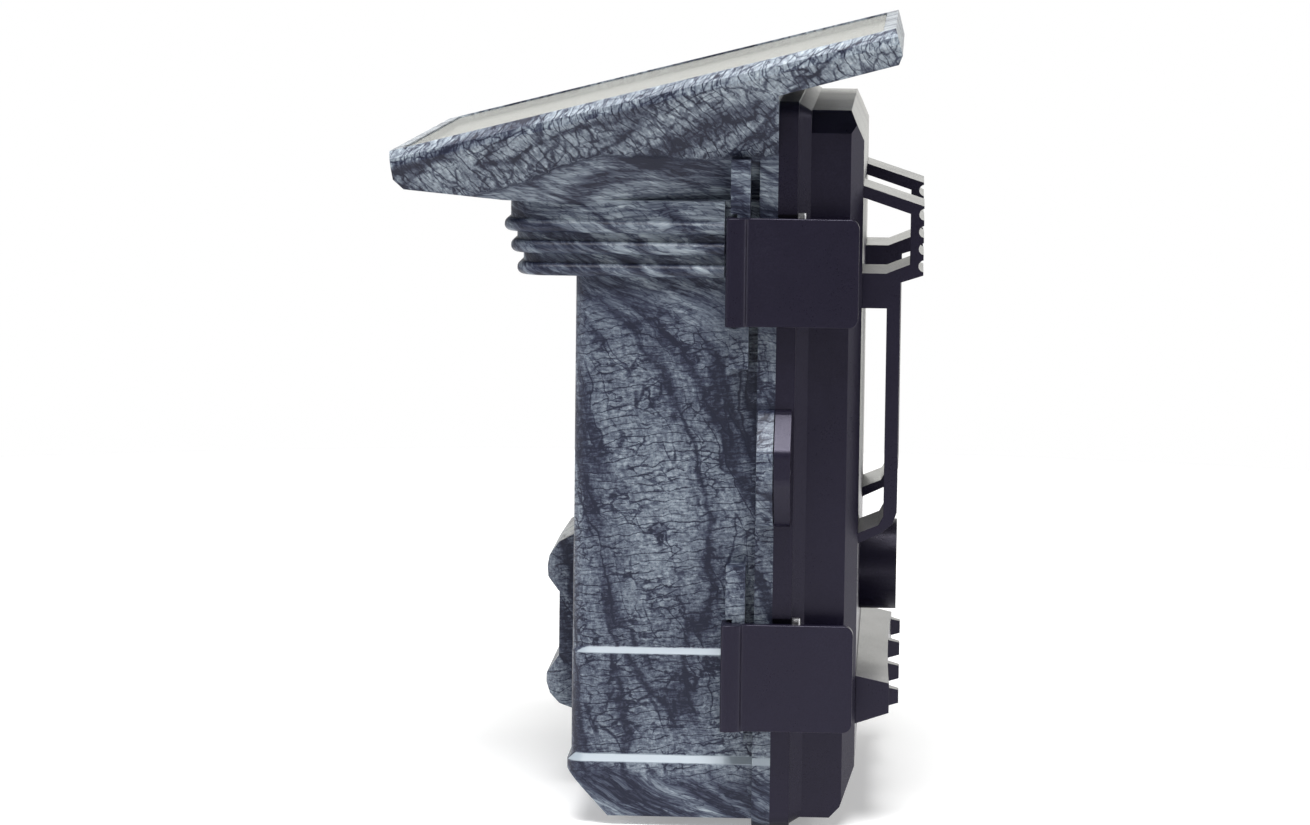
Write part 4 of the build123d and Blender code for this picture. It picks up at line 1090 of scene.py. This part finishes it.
@dataclass
class ControlPanel:
    """Marks on the keys, and black discs of painted shade for the speaker's holes. Sizes are in millimetres.
    """

    rise: float = 0.18
    sunk: float = 0.02
    hole_shade_disc: float = 0.42
    hole_pitch: float = 1.7
    hole_deep: float = 0.06

    def mark(self, key: str, outlines: Sequence[Outline], finish: Material) -> None:
        """A raised mark on a key.

        Args:
            key: the key's CAD node.
            outlines: closed outlines, seen from the rear, in millimetres from the key's middle.
            finish: the mark's material.
        """
        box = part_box(key)
        centre = middle(box)
        shape = bmesh.new()
        for outline in outlines:
            ring = [
                shape.verts.new((centre.x - across * MM, box[1].y - self.sunk * MM, centre.z + up * MM))
                for across, up in outline
            ]
            face = shape.faces.new(ring)
            grown = bmesh.ops.extrude_face_region(shape, geom=[face])["geom"]
            moved = [item for item in grown if isinstance(item, bmesh.types.BMVert)]
            bmesh.ops.translate(shape, vec=(0.0, self.rise * MM, 0.0), verts=moved)
        bmesh.ops.recalc_face_normals(shape, faces=shape.faces)
        mesh = bpy.data.meshes.new(key + "_mark")
        shape.to_mesh(mesh)
        shape.free()
        settle(as_piece(key + "_mark", mesh, finish), key)

    def marks(self, finish: Material) -> None:
        """Bars, arrows and rings."""
        bars = [[(-1.5, up), (1.5, up), (1.5, up + 0.45), (-1.5, up + 0.45)] for up in (-1.2, -0.25, 0.7)]
        arrow = [(-1.5, -0.8), (1.5, -0.8), (0.0, 1.3)]
        drop = [(-1.5, 0.8), (0.0, -1.3), (1.5, 0.8)]
        turn = [math.tau * step / 24 for step in range(24)]
        disc = [(math.cos(angle) * 1.1, math.sin(angle) * 1.1) for angle in turn]
        square = [(-1.1, -1.1), (1.1, -1.1), (1.1, 1.1), (-1.1, 1.1)]
        self.mark("key_menu", bars, finish)
        self.mark("key_up", [arrow], finish)
        self.mark("key_ok", [disc], finish)
        self.mark("key_down", [drop], finish)
        self.mark("key_shot", [square], finish)

    def speaker(self, finish: Material) -> None:
        """Rings of small black discs at the panel's face: painted shade standing in for the speaker's holes.
        """
        centre = middle(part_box("speaker"))
        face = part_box("inner_panel")[1].y
        tree = Repeat("speaker_holes", {"radius": self.hole_shade_disc * MM, "deep": self.hole_deep * MM})
        wide, deep = tree.size("radius"), tree.size("deep")
        # Painted shade: a thin black disc stands where each hole would be, in place of the shade inside it.
        hole_shade_disc = tree.solid("GeometryNodeMeshCylinder", Vertices=20, Radius=wide, Depth=deep)
        points = [Vector((centre.x, face, centre.z))]
        for ring in (1, 2):
            for step in range(6 * ring):
                angle = math.tau * step / (6 * ring)
                reach = ring * self.hole_pitch * MM
                aside, above = math.cos(angle) * reach, math.sin(angle) * reach
                points.append(Vector((centre.x + aside, face, centre.z + above)))
        settle(tree.finish(hole_shade_disc, points, Axis.REAR, finish), "inner_panel")


@dataclass
class SoftEdges:
    """Moulded parts whose corners are rounded off. Widths are in millimetres."""

    case: float = 0.28
    plates: float = 0.40
    black_parts: tuple[str, ...] = (
        "rear_shell", "bracket_ladder_right", "bracket_ladder_left", "bracket_foot_bar",
        "latch_lower", "latch_upper",
    )

    def swap(self, node: str, name: str, width: float, finish: Material) -> None:
        """Puts a rounded piece in a node's place.

        Args:
            node: the CAD node.
            name: the new piece's name.
            width: the rounding's width.
            finish: its material.
        """
        settle(softened(name, [node], width, finish), node, [node])

    def build(self, bark: Material, black: Material) -> None:
        """Rounds the printed case, the black shell, the bracket and the latches."""
        self.swap("front_case", "front_case_moulded", self.case, bark)
        self.swap("motion_sensor_bezel", "sensor_bezel_moulded", self.plates, bark)
        for node in self.black_parts:
            self.swap(node, node + "_moulded", self.plates, black)


@dataclass
class Studio:
    """Floor, lights, world and camera."""

    floor_radius: float = 0.55
    eye: Point = (0.97017, 0.04540, 0.18485)
    forward: Point = (-0.99222, -0.05225, -0.11296)
    across: Point = (-0.05389, 0.99848, 0.01155)
    lens: float = 133.07
    sensor: float = 36.0
    aim: Point = (0.0, 0.0, 0.07)
    lamps: tuple = (
        ("overhead", (0.36, -0.05, 1.0), 0.60, 18.5, (1.0, 1.0, 1.0)),
        ("backdrop", (-1.4, 0.0, 0.40), 1.2, 5.5, (1.0, 1.0, 0.93)),
        ("eye_side", (1.4, -0.9, 0.9), 0.8, 1.6, (1.0, 1.0, 1.0)),
        ("rear_side", (0.05, 1.2, 0.35), 0.8, 8.0, (1.0, 1.0, 1.0)),
        ("front_side", (0.25, -1.5, 0.6), 0.8, 8.0, (1.0, 1.0, 1.0)),
    )

    def floor(self) -> None:
        """A plain pale disc."""
        shape = bmesh.new()
        bmesh.ops.create_circle(shape, cap_ends=True, segments=96, radius=self.floor_radius)
        mesh = bpy.data.meshes.new("floor")
        shape.to_mesh(mesh)
        shape.free()
        made = bpy.data.materials.new("pale_floor")
        made.use_nodes = True
        graph = Graph(made.node_tree)
        shader = made.node_tree.nodes["Principled BSDF"].inputs
        at = graph.node("ShaderNodeTexCoord").outputs["Object"]
        cloud = graph.noise(at, 3.0, 2.0)
        graph.feed(shader["Base Color"], graph.mix(cloud, (0.76, 0.76, 0.76), (0.80, 0.80, 0.80)))
        shader["Roughness"].default_value = 0.9
        shader["Emission Color"].default_value = (1.0, 1.0, 1.0, 1.0)
        shader["Emission Strength"].default_value = 0.3
        as_piece("floor", mesh, made)

    def lamp(self, name: str, at: Point, size: float, power: float, tone: Colour) -> None:
        """A soft square lamp aimed at the part's middle.

        Args:
            name: its name.
            at: its place in metres.
            size: its side in metres.
            power: its power in watts.
            tone: its colour.
        """
        data = bpy.data.lights.new(name, "AREA")
        data.size = size
        data.energy = power
        data.color = tone
        made = bpy.data.objects.new(name, data)
        bpy.context.scene.collection.objects.link(made)
        aim = Vector(self.aim) - Vector(at)
        made.matrix_world = Matrix.Translation(at) @ aim.to_track_quat("-Z", "Y").to_matrix().to_4x4()
        made.visible_camera = False

    def world(self) -> None:
        """White to the eye, dimmer as a light."""
        made = bpy.data.worlds.new("studio")
        made.use_nodes = True
        made.node_tree.nodes.clear()
        graph = Graph(made.node_tree)
        rays = graph.node("ShaderNodeLightPath").outputs
        gloss = Value(graph, rays["Is Glossy Ray"]).blend(0.14, 0.5)
        glow = Value(graph, rays["Is Camera Ray"]).blend(gloss, 1.0)
        sky = graph.node("ShaderNodeBackground", None, {"Color": (1.0, 1.0, 1.0), "Strength": glow})
        graph.node("ShaderNodeOutputWorld", None, {"Surface": sky.outputs[0]})
        bpy.context.scene.world = made

    def camera(self) -> None:
        """The camera, a little above and behind the right side."""
        data = bpy.data.cameras.new("view")
        data.lens = self.lens
        data.sensor_width = self.sensor
        data.clip_start = 0.01
        made = bpy.data.objects.new("view", data)
        bpy.context.scene.collection.objects.link(made)
        back = -Vector(self.forward)
        right = Vector(self.across)
        up = back.cross(right)
        turn = Matrix((right, up, back)).transposed().to_4x4()
        made.matrix_world = Matrix.Translation(self.eye) @ turn
        bpy.context.scene.camera = made

    def build(self) -> None:
        """Sets the whole studio."""
        self.floor()
        self.world()
        for settings in self.lamps:
            self.lamp(*settings)
        self.camera()
        bpy.context.scene.view_settings.view_transform = "Standard"
        log.info("studio set")


def main() -> None:
    """Builds the looks in order."""
    logging.basicConfig(level=logging.INFO, format="%(message)s")
    bark = BarkPrint().material()
    black = MouldedPlastic("black_case_plastic").material()
    dress(bark, "front_case", "motion_sensor_bezel")
    edges = SoftEdges()
    dress(black, "lens_barrel", "lens_mount", *edges.black_parts)
    dress(SolarCells().material(), "solar_panel")
    dress(ClearSheet("panel_cover_sheet", (0.075, 0.080, 0.072), 0.44, 0.20, 0.05).material(), "solar_cover")
    dress(ClearSheet("clear_cover_sheet", (0.70, 0.72, 0.74), 0.09, 0.12, 0.03).material(), "lens_cover",
          "screen_window")
    dress(ClearSheet("dark_lamp_window", (0.010, 0.009, 0.016), 0.62, 0.10, 0.03).material(), "lamp_window")
    steel = Metal("plated_steel").material()
    brass = Metal("brass_insert", (0.60, 0.42, 0.16), (0.32, 0.21, 0.09), 0.28).material()
    dress(steel, "bracket_screws", "panel_screws", "latch_pins", "hinge_pins", "battery_contacts")
    dress(brass, "tripod_insert_bottom", "tripod_insert_rear")
    rubber = Rubber("soft_rubber").material()
    dress(rubber, "seal", "port_plug")
    keys = Rubber("key_caps", (0.05, 0.052, 0.056), (0.11, 0.11, 0.115), 0.6).material()
    dress(keys, "key_menu", "key_up", "key_ok", "key_down", "key_shot")
    boards = ("charging_board", "sensor_board", "lamp_board", "motion_board", "main_board")
    dress(CircuitBoard().material(), *boards)
    panel = MouldedPlastic("panel_plastic", (0.030, 0.031, 0.034), (0.055, 0.056, 0.060), 0.48).material()
    dress(panel, "inner_panel", "battery_tray", "battery_cover", "mode_switch_body", "speaker", "port_block",
          "filter_slide", "card_socket")
    switch = MouldedPlastic("switch_plastic", (0.30, 0.05, 0.03), (0.34, 0.08, 0.05), 0.42)
    dress(switch.material(), "mode_switch")
    card = MouldedPlastic("card_plastic", (0.02, 0.03, 0.07), (0.05, 0.06, 0.10), 0.4)
    dress(card.material(), "memory_card")
    dress(SensorLens().material(), "motion_sensor_lens")
    dress(ClearSheet("lens_glass_tint", (0.022, 0.014, 0.050), 0.82, 0.05, 0.02).material(), "lens_glass")
    dress(ClearSheet("filter_tint", (0.10, 0.02, 0.03), 0.7, 0.06, 0.02).material(), "filter_glass")
    dress(steel, "motion_sensor_can")
    dress(ScreenFace().material(), "screen")
    dress(Wrapped("cell_sleeve").material(), "battery_cells")
    dress(Wrapped("pack_sleeve", (0.04, 0.10, 0.22), (0.03, 0.08, 0.18), 400.0).material(), "lithium_pack")
    fasteners = Fasteners()
    fasteners.screws("panel_screws", 1.4, Axis.REAR, steel)
    fasteners.screws("bracket_screws", 2.0, Axis.FRONT, steel)
    fasteners.thread("tripod_insert_bottom", Axis.UP, brass)
    fasteners.thread("tripod_insert_rear", Axis.FRONT, brass)
    lamps = NightLamps()
    lamps.chips(black)
    lamps.lamps(LampEpoxy().material())
    bay = BatteryBay()
    bay.springs(steel)
    bay.grip(panel)
    controls = ControlPanel()
    controls.marks(MouldedPlastic("key_marks", (0.45, 0.46, 0.48), (0.55, 0.56, 0.58), 0.5).material())
    controls.speaker(black)
    edges.build(bark, black)
    Studio().build()


if __name__ == "__main__":
    main()
